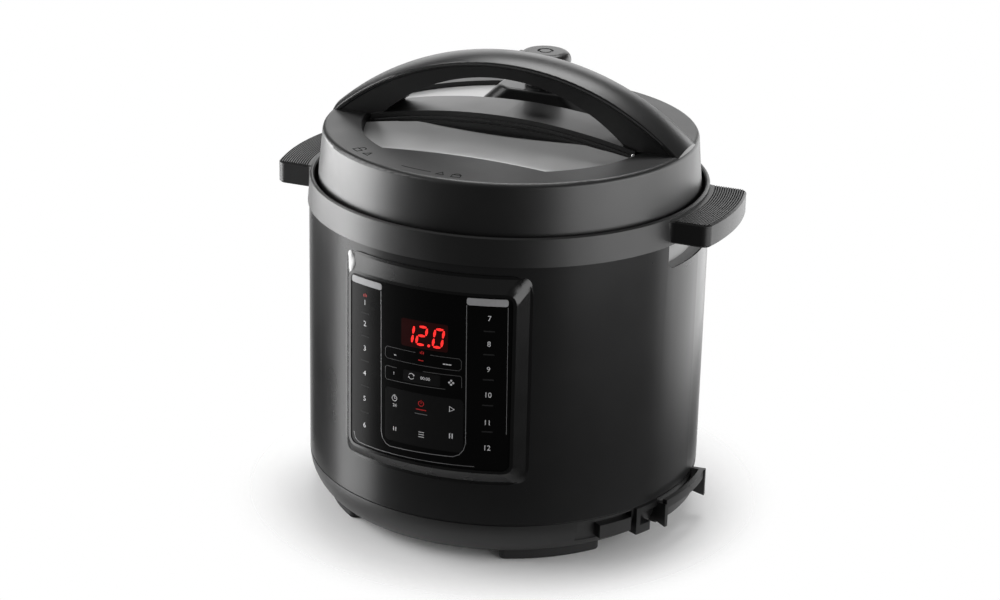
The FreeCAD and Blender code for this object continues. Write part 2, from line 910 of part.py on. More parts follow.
def post_spots():
    step = 360 / post_count
    return [spot(post_circle_r, post_first_angle + i * step) for i in range(post_count)]


def support_posts():
    top = plate_z0 - housing_t
    hole = base_screw_r + screw_gap
    reach = base_z0 + base_screw_head_t + base_screw_len
    posts = []
    for p in post_spots():
        post = tube(0, post_r, floor_z, top, p.x, p.y)
        posts.append(post.cut(tube(0, hole, floor_z, reach + fit_gap, p.x, p.y)))
    return Part.makeCompound(posts)


def base_screws():
    neck = base_z0 + base_screw_head_t
    screws = []
    for p in post_spots():
        head = tube(0, base_screw_head_r, base_z0, neck, p.x, p.y)
        screws.append(join([head, tube(0, base_screw_r, neck, neck + base_screw_len, p.x, p.y)]))
    return Part.makeCompound(screws)


# Condensate cup and its bay
def cup_bay():
    grow = bay_gap + bay_wall
    inside = tube(0, shell_in_r - screw_gap, 0, shell_z1)
    walls = cup_space(grow).common(inside).cut(cup_space(bay_gap))
    drain = spot(drain_circle_r, 180)
    return walls.cut(tube(0, drain_r + bay_wall, cup_z1, shell_z1, drain.x, drain.y))


def condensate_cup():
    face_r = shell_r + cup_proud
    outside = cup_space(0).common(tube(0, face_r, 0, shell_z1))
    outside = outside.makeChamfer(cup_edge, edges_where(outside, lambda e: on_radius(e, face_r)))
    w = cup_half_w - cup_wall
    inside = box(-w, w, cup_back + cup_wall, 2 * shell_r, cup_z0 + cup_wall, shell_z1)
    return outside.cut(inside.common(tube(0, face_r - 2 * cup_wall, 0, shell_z1)))


# Lid cover with its two scoops
def scoop_sweep(drop):
    """A hollow arc in front of the crown that follows the crown's curve."""
    top = lid_z1 + 2 * crown_rise
    mid_z = crown_z + math.sqrt(scoop_arc_r ** 2 - (scoop_mid - crown_half_w) ** 2)
    low = (-scoop_mid, mid_z - scoop_arc_r)
    end_z = lid_z1 + scoop_end_rise
    end_y = -scoop_mid - math.sqrt(scoop_arc_r ** 2 - (mid_z - end_z) ** 2)
    roof = end_z + top - lid_z1
    start_y = -crown_half_w
    wire = loop([(start_y, crown_z), (low, (end_y, end_z)), (end_y, roof), (start_y, roof)], in_yz)
    half_turn = math.degrees(math.asin(scoop_r / crown_arc_r)) + 1
    face = Part.Face(wire)
    axis = V(0, 0, crown_axis_z)
    face.rotate(axis, V(0, 1, 0), -half_turn)
    tool = face.revolve(axis, V(0, 1, 0), 2 * half_turn)
    tool.translate(V(0, 0, -drop))
    return tool


def front_scoop(drop=0):
    """The front scoop: the hollow arc inside a round wall."""
    return scoop_sweep(drop).common(tube(0, scoop_r, 0, 2 * lid_z1))


def rear_scoop(drop=0):
    """The rear scoop: the same arc runs out to a flat floor inside a wider wall."""
    floor = rear_floor_z - drop
    far = box(-lid_top_r, lid_top_r, scoop_mid, lid_top_r, floor, 2 * lid_z1)
    tool = scoop_sweep(drop).mirror(V(), V(0, 1, 0)).fuse(far)
    return tool.common(tube(0, rear_scoop_r, floor, 2 * lid_z1))


def deck_outline(half_w, half_d, z):
    wire = rounded(half_w, valve_y - half_d, valve_y + half_d, deck_corner, in_xy)
    wire.translate(V(0, 0, z))
    return wire


def pedestal(gap):
    """The block in the rear scoop that carries the valve deck."""
    outline = deck_outline(deck_low_half_w + gap, deck_low_half_d + gap, lid_roof)
    return Part.Face(outline).extrude(V(0, 0, 2 * lid_roof_drop))


def screw_quad(x, y):
    return [(sx * x, sy * y) for sx in (1, -1) for sy in (1, -1)]


def lid_outline():
    """The lid's tapered body before it is hollowed."""
    edge_r = lid_top_r + lid_slope * lid_edge
    k = lid_edge * (1 - math.sqrt(0.5))
    return turned([(0, lid_z0), (lid_low_r, lid_z0), (edge_r, lid_z1 - lid_edge),
                   ((lid_top_r - k, lid_z1 - k), (lid_top_r - lid_edge, lid_z1)), (0, lid_z1)])


def lid_cover():
    crown = tube(0, crown_arc_r, -crown_half_w, crown_half_w)
    crown.rotate(V(), V(1, 0, 0), 90)
    crown.translate(V(0, 0, crown_axis_z))
    bar = crown.common(box(-scoop_r, scoop_r, -crown_half_w, crown_half_w, lid_roof, crown_z))
    sides = [front_scoop(inlay_t), rear_scoop(inlay_t).cut(pedestal(0))]
    gap = tube(0, scoop_r, lid_roof, 2 * lid_z1)
    gap = gap.common(box(-scoop_r, scoop_r, -crown_half_w, crown_half_w, lid_roof, 2 * lid_z1))
    body = without(lid_outline(), sides + [gap])
    body = join([body, bar.common(tube(0, scoop_r, 0, 2 * lid_z1))])
    roof_r = lid_low_r - lid_wall - lid_slope * (lid_roof - lid_z0)
    mouth_r = lid_low_r - lid_wall
    hollow = turned([(0, 0), (mouth_r, 0), (mouth_r, lid_z0), (roof_r, lid_roof), (0, lid_roof)])
    ring_z = lid_z1 - lid_ring_roof
    ring_r = lid_top_r - lid_wall - lid_ring_roof
    ring = tube(lid_ring_inner_r, ring_r, lid_roof - 1, ring_z)
    rear_half = box(-lid_top_r, lid_top_r, crown_half_w - lid_wall, lid_top_r, 0, 2 * lid_z1)
    ring = ring.cut(tube(0, rear_scoop_r + lid_wall, 0, 2 * lid_z1).common(rear_half))
    screw_places = screw_quad(lid_screw_x, lid_screw_y)
    bosses = [tube(0, lid_boss_r, pan_z1, lid_roof + 1, x, y) for x, y in screw_places]
    body = join([without(body, [hollow, ring])] + bosses)
    holes = [tube(0, lid_screw_r + screw_gap, pan_z1, pan_z0 + lid_screw_len + fit_gap, x, y)
             for x, y in screw_places]
    holes += [tube(0, handle_screw_r + screw_gap, ring_z, lid_z1, x, y)
              for x, y in screw_quad(handle_screw_x, handle_screw_y)]
    holes.append(tube(0, pipe_r + fit_gap, 0, 2 * lid_z1, 0, valve_y))
    holes.append(tube(0, bush_r + bush_gap, 0, 2 * lid_z1, float_x, float_y))
    return without(body, holes)


def scoop_plates():
    """Two thin satin plates that line the scoops."""
    plate = front_scoop(inlay_t).cut(front_scoop()).common(tube(0, scoop_r - inlay_gap, 0, lid_z1))
    rear = rear_scoop(inlay_t).cut(rear_scoop()).common(tube(0, rear_scoop_r - inlay_gap, 0, lid_z1))
    rear = rear.cut(pedestal(inlay_gap))
    rear = rear.cut(tube(0, bush_r + bush_gap, 0, 2 * lid_z1, float_x, float_y))
    return Part.makeCompound([plate, rear])


# Lid handle: the arch and the bridge under it
def bow(radius, centre_z, half_w):
    """A wide wheel lying along Y, for arcs that run over the lid."""
    wheel = tube(0, radius, -half_w, half_w)
    wheel.rotate(V(), V(1, 0, 0), 90)
    wheel.translate(V(0, 0, centre_z))
    return wheel


def lid_handle():
    top = lid_z1 + arch_rise
    axis_z = top - arch_arc_r
    low = axis_z + 0.5 * arch_arc_r
    w = arch_half_w
    skirt = top - arch_crown - arch_cap_t
    inset = w - arch_cap_lap
    side = top - arch_crown
    k = arch_edge * (1 - math.sqrt(0.5))
    wire = loop([
        (-inset, low), (-inset, skirt), (-w, skirt + arch_cap_lap), (-w, side - arch_edge),
        ((-w + k, side - k), (-w + arch_edge, side)), ((0, top), (w - arch_edge, side)),
        ((w - k, side - k), (w, side - arch_edge)), (w, skirt + arch_cap_lap), (inset, skirt), (inset, low),
    ], in_yz)
    face = Part.Face(wire)
    face.rotate(V(0, 0, axis_z), V(0, 1, 0), -80)
    arch = face.revolve(V(0, 0, axis_z), V(0, 1, 0), 160)
    opening = bow(arch_gap_arc_r, lid_z1 + arch_gap_rise - arch_gap_arc_r, 2 * w)
    arch = arch.cut(opening).common(tube(0, arch_end_r, lid_z1 - lid_edge, top + 1)).cut(lid_outline())
    reach = handle_screw_len + screw_gap
    holes = [tube(0, handle_screw_r + screw_gap, lid_z1, lid_z1 - lid_ring_roof + reach, x, y)
             for x, y in screw_quad(handle_screw_x, handle_screw_y)]
    return without(arch, holes)


def handle_bridge():
    top = crown_z + bridge_t
    crest = bow(bridge_arc_r, top - bridge_arc_r, crown_half_w)
    under = bow(crown_arc_r, crown_axis_z, crown_half_w)
    bar = crest.cut(under)
    bar = bar.common(box(-bridge_half_len, bridge_half_len, -crown_half_w, crown_half_w, lid_roof, top))
    grooves = []
    for i in range(bridge_grooves):
        drop = bridge_t * (i + 1) / (bridge_grooves + 1)
        r = bridge_arc_r - drop
        wide = 2 * crown_half_w
        line = bow(r, top - bridge_arc_r, wide).cut(bow(r - bridge_groove_w, top - bridge_arc_r, wide))
        keep = crown_half_w - bridge_groove_depth
        grooves.append(line.cut(box(-2 * bridge_half_len, 2 * bridge_half_len, -keep, keep, 0, 2 * top)))
    return without(bar, grooves + [lid_handle()])


def handle_screws():
    z = lid_z1 - lid_ring_roof
    screws = []
    for x, y in screw_quad(handle_screw_x, handle_screw_y):
        head = tube(0, handle_screw_head_r, z - handle_screw_head_t, z, x, y)
        screws.append(join([head, tube(0, handle_screw_r, z, z + handle_screw_len, x, y)]))
    return Part.makeCompound(screws)


# Lid pan, gasket and rack
def lid_pan():
    wall_r = pan_r - pan_t
    dish = turned([(0, pan_z0), (wall_r, pan_z0), (wall_r, pan_low), (pan_r, pan_low),
                   (pan_r, pan_z1), (0, pan_z1)])
    hooks = lugs(pan_lug_in_r, wall_r + pan_t / 2, pan_low, pan_lug_z1, 180 / lug_count)
    holes = [tube(0, lid_screw_r + screw_gap, pan_z0, pan_z1, x, y)
             for x, y in screw_quad(lid_screw_x, lid_screw_y)]
    holes.append(tube(0, pipe_r + screw_gap, pan_z0, pan_z1, 0, valve_y))
    holes.append(tube(0, bush_r + screw_gap, pan_z0, pan_z1, float_x, float_y))
    return without(join([dish] + hooks), holes)


def lid_screws():
    screws = []
    for x, y in screw_quad(lid_screw_x, lid_screw_y):
        head = tube(0, lid_screw_head_r, pan_z0 - lid_screw_head_t, pan_z0, x, y)
        screws.append(join([head, tube(0, lid_screw_r, pan_z0, pan_z0 + lid_screw_len, x, y)]))
    return Part.makeCompound(screws)


def gasket_rack():
    r = seal_r - seal_w - fit_gap
    return tube(r - rack_t, r, pan_z0 - rack_h, pan_z0)


def sealing_ring():
    z0 = pot_rim_z + fit_gap
    z1 = pan_z0 - fit_gap
    r0 = seal_r - seal_w
    back = seal_r - seal_web
    return turned([
        (r0, z0), (seal_r, z0), (seal_r, z1), (r0, z1), (r0, z1 - seal_lip), (back, z1 - seal_lip),
        (back, z0 + seal_lip), (r0, z0 + seal_lip),
    ])


# Steam release valve
def vent_pipe():
    low = pan_z0 - pipe_below
    pipe = tube(0, pipe_r, low, deck_z1 + pipe_above_deck, 0, valve_y)
    flange = tube(0, pipe_flange_r, pan_z0 - pipe_flange_t, pan_z0, 0, valve_y)
    return join([pipe, flange]).cut(tube(0, pipe_bore_r, low, 2 * deck_z1, 0, valve_y))


def vent_nut():
    corners = [spot(nut_r, 60 * i) for i in range(6)]
    wire = loop([(p.x, p.y) for p in corners], in_xy)
    wire.translate(V(0, valve_y, pan_z1))
    hexagon = Part.Face(wire).extrude(V(0, 0, nut_h))
    return hexagon.cut(tube(0, pipe_r + screw_gap, 0, 2 * pan_z1, 0, valve_y))


def vent_shield():
    low = pan_z0 - shield_h
    cap = tube(0, shield_r, low, pan_z0, 0, valve_y)
    cap = cap.cut(tube(0, shield_r - shield_t, low + shield_t, pan_z0, 0, valve_y))
    slots = []
    for i in range(shield_slots):
        half = shield_slot_w / 2
        slot = box(0, 2 * shield_r, -half, half, low + 2 * shield_t, pan_z0 - 2 * shield_t)
        slot.rotate(V(), V(0, 0, 1), i * 360 / shield_slots)
        slot.translate(V(0, valve_y, 0))
        slots.append(slot)
    return cap.cut(Part.makeCompound(slots).common(tube(0, 2 * shield_r, low, pan_z0, 0, valve_y)))


def valve_deck():
    foot = deck_outline(deck_low_half_w, deck_low_half_d, deck_z0)
    top = deck_outline(deck_top_half_w, deck_top_half_d, deck_z1)
    deck = Part.makeLoft([foot, top], True, True)
    deck = deck.makeFillet(deck_edge, edges_where(deck, lambda e: at_height(e, deck_z1)))
    return deck.cut(tube(0, pipe_r + fit_gap, deck_z0, deck_z1, 0, valve_y))


def steam_knob():
    z0 = deck_z1 + knob_lift
    z1 = z0 + knob_h
    rim = z1 - knob_rim_t
    k = knob_round * (1 - math.sqrt(0.5))
    shape = turned([
        (0, z0), (knob_waist_r, z0), (knob_waist_r, rim), (knob_r, rim), (knob_r, z1 - knob_round),
        ((knob_r - k, z1 - k), (knob_r - knob_round, z1)), (0, z1),
    ])
    tab = box(-knob_tab_reach, -knob_waist_r, -knob_tab_half_w, knob_tab_half_w, rim, rim + knob_tab_t)
    shape = join([shape, tab])
    shape = shape.cut(tube(knob_ring_r - knob_ring_w, knob_ring_r, z1 - knob_ring_depth, z1))
    shape = shape.cut(tube(0, pipe_r + knob_bore_gap, z0, deck_z1 + pipe_above_deck + fit_gap))
    shape.translate(V(0, valve_y, 0))
    return shape


# Float valve
def float_bush():
    return tube(float_r + float_gap, bush_r, pan_z0, pan_z0 + bush_h, float_x, float_y)


def float_low():
    return pan_z0 - float_seat_gap - float_travel


def scoop_height(x, y):
    """Height of the rear scoop's surface at a place."""
    mid_z = crown_z + math.sqrt(scoop_arc_r ** 2 - (scoop_mid - crown_half_w) ** 2)
    z = mid_z - math.sqrt(scoop_arc_r ** 2 - (abs(y) - scoop_mid) ** 2)
    return max(rear_floor_z, crown_axis_z + math.sqrt((z - crown_axis_z) ** 2 - x ** 2))


def float_pin():
    low = float_low()
    top = scoop_height(float_x, float_y) - float_below_top
    stop = pan_z0 + bush_h + float_seat_gap
    pin = tube(0, float_r, low, top, float_x, float_y)
    return join([pin, tube(0, float_flange_r, stop, stop + float_flange_t, float_x, float_y)])


def float_cap():
    low = float_low()
    return tube(0, float_cap_r, low - float_cap_h, low, float_x, float_y)


PIECES = [
    outer_shell, base_moulding, rubber_feet, top_collar, finger_pockets, cord_gland, cord_cleat,
    outer_pot, inner_pot, heating_plate, heating_element, sensor_plunger, sensor_bracket, sensor_spring,
    thermal_cutout, panel_bezel, panel_overlay, panel_carrier, display_module, control_board, board_screws,
    power_board, power_components, support_posts, base_screws, cup_bay, condensate_cup,
    lid_cover, scoop_plates, lid_handle, handle_bridge, handle_screws, lid_pan, lid_screws, gasket_rack,
    sealing_ring,
    vent_pipe, vent_nut, vent_shield, valve_deck, steam_knob, float_bush, float_pin, float_cap,
]

os.makedirs("parts", exist_ok=True)
for piece in PIECES:
    piece().exportStep("parts/" + piece.__name__ + ".step")
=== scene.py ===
# %% [markdown]
# # A black electric pressure cooker
# This lesson dresses a finished CAD model. The solids arrive as a fixed frame: their shapes stay as
# they are, and our work is light, finishes and the thin printed or raised details that sit on them.
# Only one spring inside is wound anew, because it has to give way when the pot is set down.

# %% Load the frame
import math
import bmesh
import bpy
from mathutils import Matrix, Vector


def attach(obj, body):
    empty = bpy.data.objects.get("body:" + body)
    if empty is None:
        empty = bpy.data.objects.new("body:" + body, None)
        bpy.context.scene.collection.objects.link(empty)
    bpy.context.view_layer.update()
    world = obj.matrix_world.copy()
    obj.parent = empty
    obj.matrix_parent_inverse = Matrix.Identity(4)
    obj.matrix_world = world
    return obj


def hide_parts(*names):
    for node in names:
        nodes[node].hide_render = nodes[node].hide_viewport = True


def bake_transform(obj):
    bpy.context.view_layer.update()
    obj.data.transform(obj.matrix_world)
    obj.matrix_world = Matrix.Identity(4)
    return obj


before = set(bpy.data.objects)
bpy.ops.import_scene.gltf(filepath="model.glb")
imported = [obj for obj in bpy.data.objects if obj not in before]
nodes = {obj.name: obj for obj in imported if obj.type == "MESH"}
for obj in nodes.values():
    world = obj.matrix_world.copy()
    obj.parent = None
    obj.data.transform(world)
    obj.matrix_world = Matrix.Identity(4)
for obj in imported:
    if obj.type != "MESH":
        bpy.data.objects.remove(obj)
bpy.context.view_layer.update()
scene = bpy.context.scene
mm = 0.001

# %% [markdown]
# ## Camera
# The picture was taken with a long lens from in front, a little to the right and above, and the
# camera was not quite level. We aim by hand: two cross products give the level view and a small
# roll finishes it. A Track To constraint would do the aiming too, but not the roll.

# %% Camera
lens_at = Vector((0.6205, -1.5554, 0.7845))
look_at = Vector((-0.0046, -0.0018, 0.1422))
roll = math.radians(1.36)
ahead = (look_at - lens_at).normalized()
level_right = ahead.cross(Vector((0, 0, 1))).normalized()
level_up = level_right.cross(ahead)
right = level_right * math.cos(roll) + level_up * math.sin(roll)
up = level_up * math.cos(roll) - level_right * math.sin(roll)
lens = bpy.data.cameras.new("portrait_lens")
lens.lens = 90.7
lens.sensor_width = 36
camera = bpy.data.objects.new("portrait_camera", lens)
camera.matrix_world = Matrix.Translation(lens_at) @ Matrix((right, up, -ahead)).transposed().to_4x4()
scene.collection.objects.link(camera)
scene.camera = camera
print("camera distance: %.2f m" % (look_at - lens_at).length)

# %% [markdown]
# ## Helpers for nodes
# The sky, the floor and every finish are small networks of shader nodes. A few helpers keep them short:
# one makes a node, one links a list of sockets, one blends two colours by a mask and one carries a value
# from one span to another.

# %% Helpers for nodes
mix_factor, mix_a, mix_b, mix_out = 0, 6, 7, 2     # the sockets that a Mix node uses for colours


def new_node(tree, kind, operation=None):
    """A shader node of one kind, set to an operation if it has several."""
    node = tree.nodes.new("ShaderNode" + kind)
    if operation:
        node.operation = operation
    return node


def join_nodes(tree, *pairs):
    """Link outputs to inputs, pair by pair."""
    for source, target in pairs:
        tree.links.new(source, target)


def colour_mix(tree, mask, dark, light):
    """A blend of two colours by a mask."""
    mix = new_node(tree, "Mix")
    mix.data_type = "RGBA"
    mix.inputs[mix_a].default_value = (*dark, 1)
    mix.inputs[mix_b].default_value = (*light, 1)
    join_nodes(tree, (mask, mix.inputs[mix_factor]))
    return mix


def span_node(tree, value, start, end, low, high, curve="LINEAR"):
    """A value between start and end, carried to the span from low to high."""
    span = new_node(tree, "MapRange")
    span.interpolation_type = curve
    limits = {"From Min": start, "From Max": end, "To Min": low, "To Max": high}
    for label, limit in limits.items():
        span.inputs[label].default_value = limit
    join_nodes(tree, (value, span.inputs["Value"]))
    return span.outputs["Result"]


print("a Mix node blends colours between sockets", mix_a, "and", mix_b)

# %% [markdown]
# ## Studio surround
# Black plastic shows its surroundings more than its own colour. The sky is white where the picture
# looks at it, pale overhead and a quiet grey elsewhere, so the front of the pot stays black and only the
# soft boxes draw light along it. A darker patch at the left back plays the black flag that a photographer
# hangs up to cut a reflection. A white sky all round would turn the pot grey.

# %% White sky with a grey front
scene.view_settings.view_transform = "Standard"
sky = bpy.data.worlds.new("studio_sky")
scene.world = sky
sky.use_nodes = True
sky_tree = sky.node_tree
backdrop = sky_tree.nodes["Background"]
backdrop.inputs["Strength"].default_value = 1.0
facing = new_node(sky_tree, "TexCoord")


def round_about(azimuth, distance, height):
    """A place beside the pot: 0 degrees is in front of the panel, 90 at its right."""
    angle = math.radians(azimuth)
    return Vector((distance * math.sin(angle), -distance * math.cos(angle), height))


def sky_part(direction, start, end, level):
    """A round patch of the sky: its edge and its full part are cosines of the angle from a direction."""
    towards = new_node(sky_tree, "VectorMath", "DOT_PRODUCT")
    towards.inputs[1].default_value = direction
    join_nodes(sky_tree, (facing.outputs["Generated"], towards.inputs[0]))
    return span_node(sky_tree, towards.outputs["Value"], start, end, 0, level, "SMOOTHSTEP")


quiet_grey, flag_black, white = (0.08, 0.08, 0.08), (0.01, 0.01, 0.01), (1, 1, 1)
black_flag = round_about(-118.6, 1, -0.287).normalized()
overhead = (0, 0, 1)
overhead_level = 0.36
quiet = colour_mix(sky_tree, sky_part(black_flag, 0.84, 0.956, 1.0), quiet_grey, flag_black)
brighter = new_node(sky_tree, "Math", "MAXIMUM")
whole_sky = colour_mix(sky_tree, brighter.outputs["Value"], quiet_grey, white)
join_nodes(sky_tree,
           (sky_part(ahead, 0.9135, 0.97, 1.0), brighter.inputs[0]),
           (sky_part(overhead, 0.6, 0.95, overhead_level), brighter.inputs[1]),
           (quiet.outputs[mix_out], whole_sky.inputs[mix_a]),
           (whole_sky.outputs[mix_out], backdrop.inputs["Color"]))
print("sky nodes:", len(sky_tree.nodes))

# %% [markdown]
# ## Floor
# The floor is a pale round sheet that catches the soft shadow round the feet. It thins out to nothing
# before its edge, so it melts into the white sky and the sides of the pot reflect the sky, not a rim.
# Backfacing makes it clear from below, so that the feet and the base can be looked at too.

# %% Floor
floor_r = 0.6
solid_to, gone_by = 0.14, 0.205
bm = bmesh.new()
bmesh.ops.create_circle(bm, cap_ends=True, segments=96, radius=floor_r)
floor_mesh = bpy.data.meshes.new("floor")
bm.to_mesh(floor_mesh)
bm.free()
floor = bpy.data.objects.new("floor", floor_mesh)
scene.collection.objects.link(floor)
pale = bpy.data.materials.new("pale_floor")
pale.use_nodes = True
tree = pale.node_tree
matt = tree.nodes["Principled BSDF"]
matt.inputs["Base Color"].default_value = (0.97, 0.97, 0.97, 1)
matt.inputs["Roughness"].default_value = 0.9
matt.inputs["Specular IOR Level"].default_value = 0.1
place = new_node(tree, "TexCoord")
reach = new_node(tree, "VectorMath", "LENGTH")
thin = span_node(tree, reach.outputs["Value"], solid_to, gone_by, 1, 0, "SMOOTHSTEP")
side = new_node(tree, "NewGeometry")
one_sided = new_node(tree, "Math", "SUBTRACT")
one_sided.use_clamp = True
join_nodes(tree,
           (place.outputs["Object"], reach.inputs[0]),
           (thin, one_sided.inputs[0]),
           (side.outputs["Backfacing"], one_sided.inputs[1]),
           (one_sided.outputs["Value"], matt.inputs["Alpha"]))
floor_mesh.materials.append(pale)
print("floor: radius", floor_r)

# %% [markdown]
# ## Lamps
# Large soft boxes stand round the pot: a bright one at the left, a weaker pair from the right round to the
# back, and two above and behind that run along the handle and the hollows of the lid. A low one at the left
# stands for the bright table and draws the upright streak on the shell, and a long high one lights the edge
# of the lid and the sloped top of the panel's frame.
# They are hidden from the camera, so that no view from another side is blocked.

# %% Soft boxes
stand_off = 1.2
side_boxes = (
    # name, azimuth in degrees, lower edge, upper edge and width in metres, watts
    ("left_box", -86, -0.04, 0.34, 1.35, 18),
    ("left_low_box", -71, -0.63, 0.0, 0.63, 5.3),
    ("left_high_box", -70, 0.6, 1.0, 1.25, 11),
    ("right_box", 82, -0.07, 0.69, 1.42, 12.6),
    ("right_back_box", 146, -0.37, 0.62, 1.39, 10),
    ("back_box", -158, 0.3, 0.82, 1.0, 2.7),
)


def soft_box(name, at, aim, width, height, watts):
    """A rectangular lamp at one place, turned to another, that the camera doesn't see."""
    lamp = bpy.data.lights.new(name, "AREA")
    lamp.shape = "RECTANGLE"
    lamp.size = width
    lamp.size_y = height
    lamp.energy = watts
    box = bpy.data.objects.new(name, lamp)
    box.matrix_world = Matrix.Translation(at) @ (aim - at).to_track_quat("-Z", "Y").to_matrix().to_4x4()
    box.visible_camera = False
    scene.collection.objects.link(box)
    print(name, "%.1f W per square metre" % (watts / width / height))


for name, azimuth, low, high, width, watts in side_boxes:
    middle = (low + high) / 2
    soft_box(name, round_about(azimuth, stand_off, middle), Vector((0, 0, middle)), width, high - low, watts)
soft_box("top_box", Vector((-0.15, 0.55, 1.25)), Vector((0, 0, 0.25)), 0.8, 0.5, 7.5)

# %% [markdown]
# ## Shared effect: moulded grain
# Nearly every outside piece is a moulding from an etched steel tool, and the tool leaves a fine even
# grain. It could be an image, but noise on object coordinates needs no unwrapping and keeps its size in
# millimetres on every piece. The group gives a height for the bump and a tone for colour and gloss.

# %% Grain group
def new_group(name, inputs, outputs):
    """A node group with number sockets, and its two end nodes."""
    group = bpy.data.node_groups.new(name, "ShaderNodeTree")
    for label, value in inputs.items():
        socket = group.interface.new_socket(label, in_out="INPUT", socket_type="NodeSocketFloat")
        socket.default_value = value
    for label in outputs:
        group.interface.new_socket(label, in_out="OUTPUT", socket_type="NodeSocketFloat")
    return group, group.nodes.new("NodeGroupInput"), group.nodes.new("NodeGroupOutput")


def noise_node(tree, detail, roughness):
    """A noise texture; its scale comes from elsewhere."""
    noise = new_node(tree, "TexNoise")
    noise.inputs["Detail"].default_value = detail
    noise.inputs["Roughness"].default_value = roughness
    return noise


grain, start, end = new_group("moulded_grain", {"Pits per metre": 1500, "Cloud per metre": 22},
                              ["Height", "Tone"])
place = new_node(grain, "TexCoord")
pits = noise_node(grain, 2, 0.6)
cloud = noise_node(grain, 3, 0.5)
join_nodes(grain,
           (place.outputs["Object"], pits.inputs["Vector"]),
           (place.outputs["Object"], cloud.inputs["Vector"]),
           (start.outputs["Pits per metre"], pits.inputs["Scale"]),
           (start.outputs["Cloud per metre"], cloud.inputs["Scale"]),
           (pits.outputs["Fac"], end.inputs["Height"]),
           (cloud.outputs["Fac"], end.inputs["Tone"]))
print("group:", grain.name)

# %% [markdown]
# ## Shared effect: turned and spun marks
# Pressed and spun metal carries fine rings about the axis it turned on. Measuring the distance from that
# axis and feeding it to a one-dimensional noise gives rings of uneven width, as a tool leaves them.

# %% Spun rings group
def axis_distance(tree, place):
    """How far a place lies from the upright axis."""
    flat = new_node(tree, "VectorMath", "MULTIPLY")
    flat.inputs[1].default_value = (1, 1, 0)
    away = new_node(tree, "VectorMath", "LENGTH")
    join_nodes(tree, (place, flat.inputs[0]), (flat.outputs["Vector"], away.inputs[0]))
    return away.outputs["Value"]


rings, start, end = new_group("spun_rings", {"Centre X": 0, "Centre Y": 0, "Rings per metre": 900},
                              ["Height", "Tone"])
place = new_node(rings, "TexCoord")
centre = new_node(rings, "CombineXYZ")
shift = new_node(rings, "VectorMath", "SUBTRACT")
lathe = noise_node(rings, 2, 0.5)
lathe.noise_dimensions = "1D"
cloud = noise_node(rings, 3, 0.5)
cloud.inputs["Scale"].default_value = 30
join_nodes(rings,
           (start.outputs["Centre X"], centre.inputs["X"]),
           (start.outputs["Centre Y"], centre.inputs["Y"]),
           (place.outputs["Object"], shift.inputs[0]),
           (centre.outputs["Vector"], shift.inputs[1]),
           (axis_distance(rings, shift.outputs["Vector"]), lathe.inputs["W"]),
           (start.outputs["Rings per metre"], lathe.inputs["Scale"]),
           (place.outputs["Object"], cloud.inputs["Vector"]),
           (lathe.outputs["Fac"], end.inputs["Height"]),
           (cloud.outputs["Fac"], end.inputs["Tone"]))
print("group:", rings.name)

# %% [markdown]
# ## How a finish is put together
# Every finish follows one plan: a shared effect gives a tone and a height, the tone blends two near
# colours and moves the gloss a little, and the height feeds a bump. Plain numbers, such as the strength of
# the reflection, stay on the shader's own sockets.

# %% Finish helper
finishes = {}
tone_span = (0.3, 0.7)


def grey(level):
    """A dark neutral with a trace of blue."""
    return (level, level, level * 1.02)


def finish(name, effect, settings, dark, light, gloss, bump=0.1, depth=0.05, **fixed):
    """A material: two near colours, a span of roughness and a fine relief, all from one shared effect."""
    made = bpy.data.materials.new(name)
    made.use_nodes = True
    tree = made.node_tree
    shader = tree.nodes["Principled BSDF"]
    pattern = new_node(tree, "Group")
    pattern.node_tree = effect
    for label, value in settings.items():
        pattern.inputs[label].default_value = value
    relief = new_node(tree, "Bump")
    relief.inputs["Strength"].default_value = bump
    relief.inputs["Distance"].default_value = depth * mm
    tone = pattern.outputs["Tone"]
    join_nodes(tree,
               (colour_mix(tree, tone, dark, light).outputs[mix_out], shader.inputs["Base Color"]),
               (span_node(tree, tone, *tone_span, *gloss), shader.inputs["Roughness"]),
               (pattern.outputs["Height"], relief.inputs["Height"]),
               (relief.outputs["Normal"], shader.inputs["Normal"]))
    for label, value in fixed.items():
        shader.inputs[label.replace("_", " ")].default_value = value
    finishes[name] = made
    return made


print("a tone from %.1f to %.1f moves the gloss" % tone_span)

# %% [markdown]
# ## Black finishes
# The shell is painted steel, smooth and satin. The lid, collar and base are grained plastic and a little
# rougher, so their highlights spread. The handle parts are polished more, the panel is a glossy print
# under clear film, and its frame is moulded with a soft gloss.

# %% Black finishes
grained = dict(settings={"Pits per metre": 1400}, dark=grey(0.002), light=grey(0.004), gloss=(0.38, 0.44),
               bump=0.35, Specular_IOR_Level=0.66)
finish("satin_paint", grain, {"Pits per metre": 900}, grey(0.008), grey(0.012), (0.27, 0.31),
       bump=0.05, Specular_IOR_Level=0.36)
finish("grained_plastic", grain, **grained)
finish("polished_plastic", grain, {"Pits per metre": 2200}, grey(0.003), grey(0.005), (0.31, 0.37),
       bump=0.08, Specular_IOR_Level=0.6)
finish("panel_film", grain, {"Pits per metre": 300}, grey(0.002), grey(0.003), (0.25, 0.3),
       bump=0.01, Specular_IOR_Level=0.1)
finish("panel_frame", grain, {"Pits per metre": 1800}, grey(0.002), grey(0.003), (0.24, 0.3),
       bump=0.05, Specular_IOR_Level=0.45)
finish("black_rubber", grain, {"Pits per metre": 1100}, grey(0.012), grey(0.02), (0.7, 0.8),
       bump=0.3, Specular_IOR_Level=0.3)
finish("polished_lip", grain, {"Pits per metre": 900}, grey(0.012), grey(0.018), (0.12, 0.18),
       bump=0.02, Specular_IOR_Level=1.0)
print("black finishes:", len(finishes))

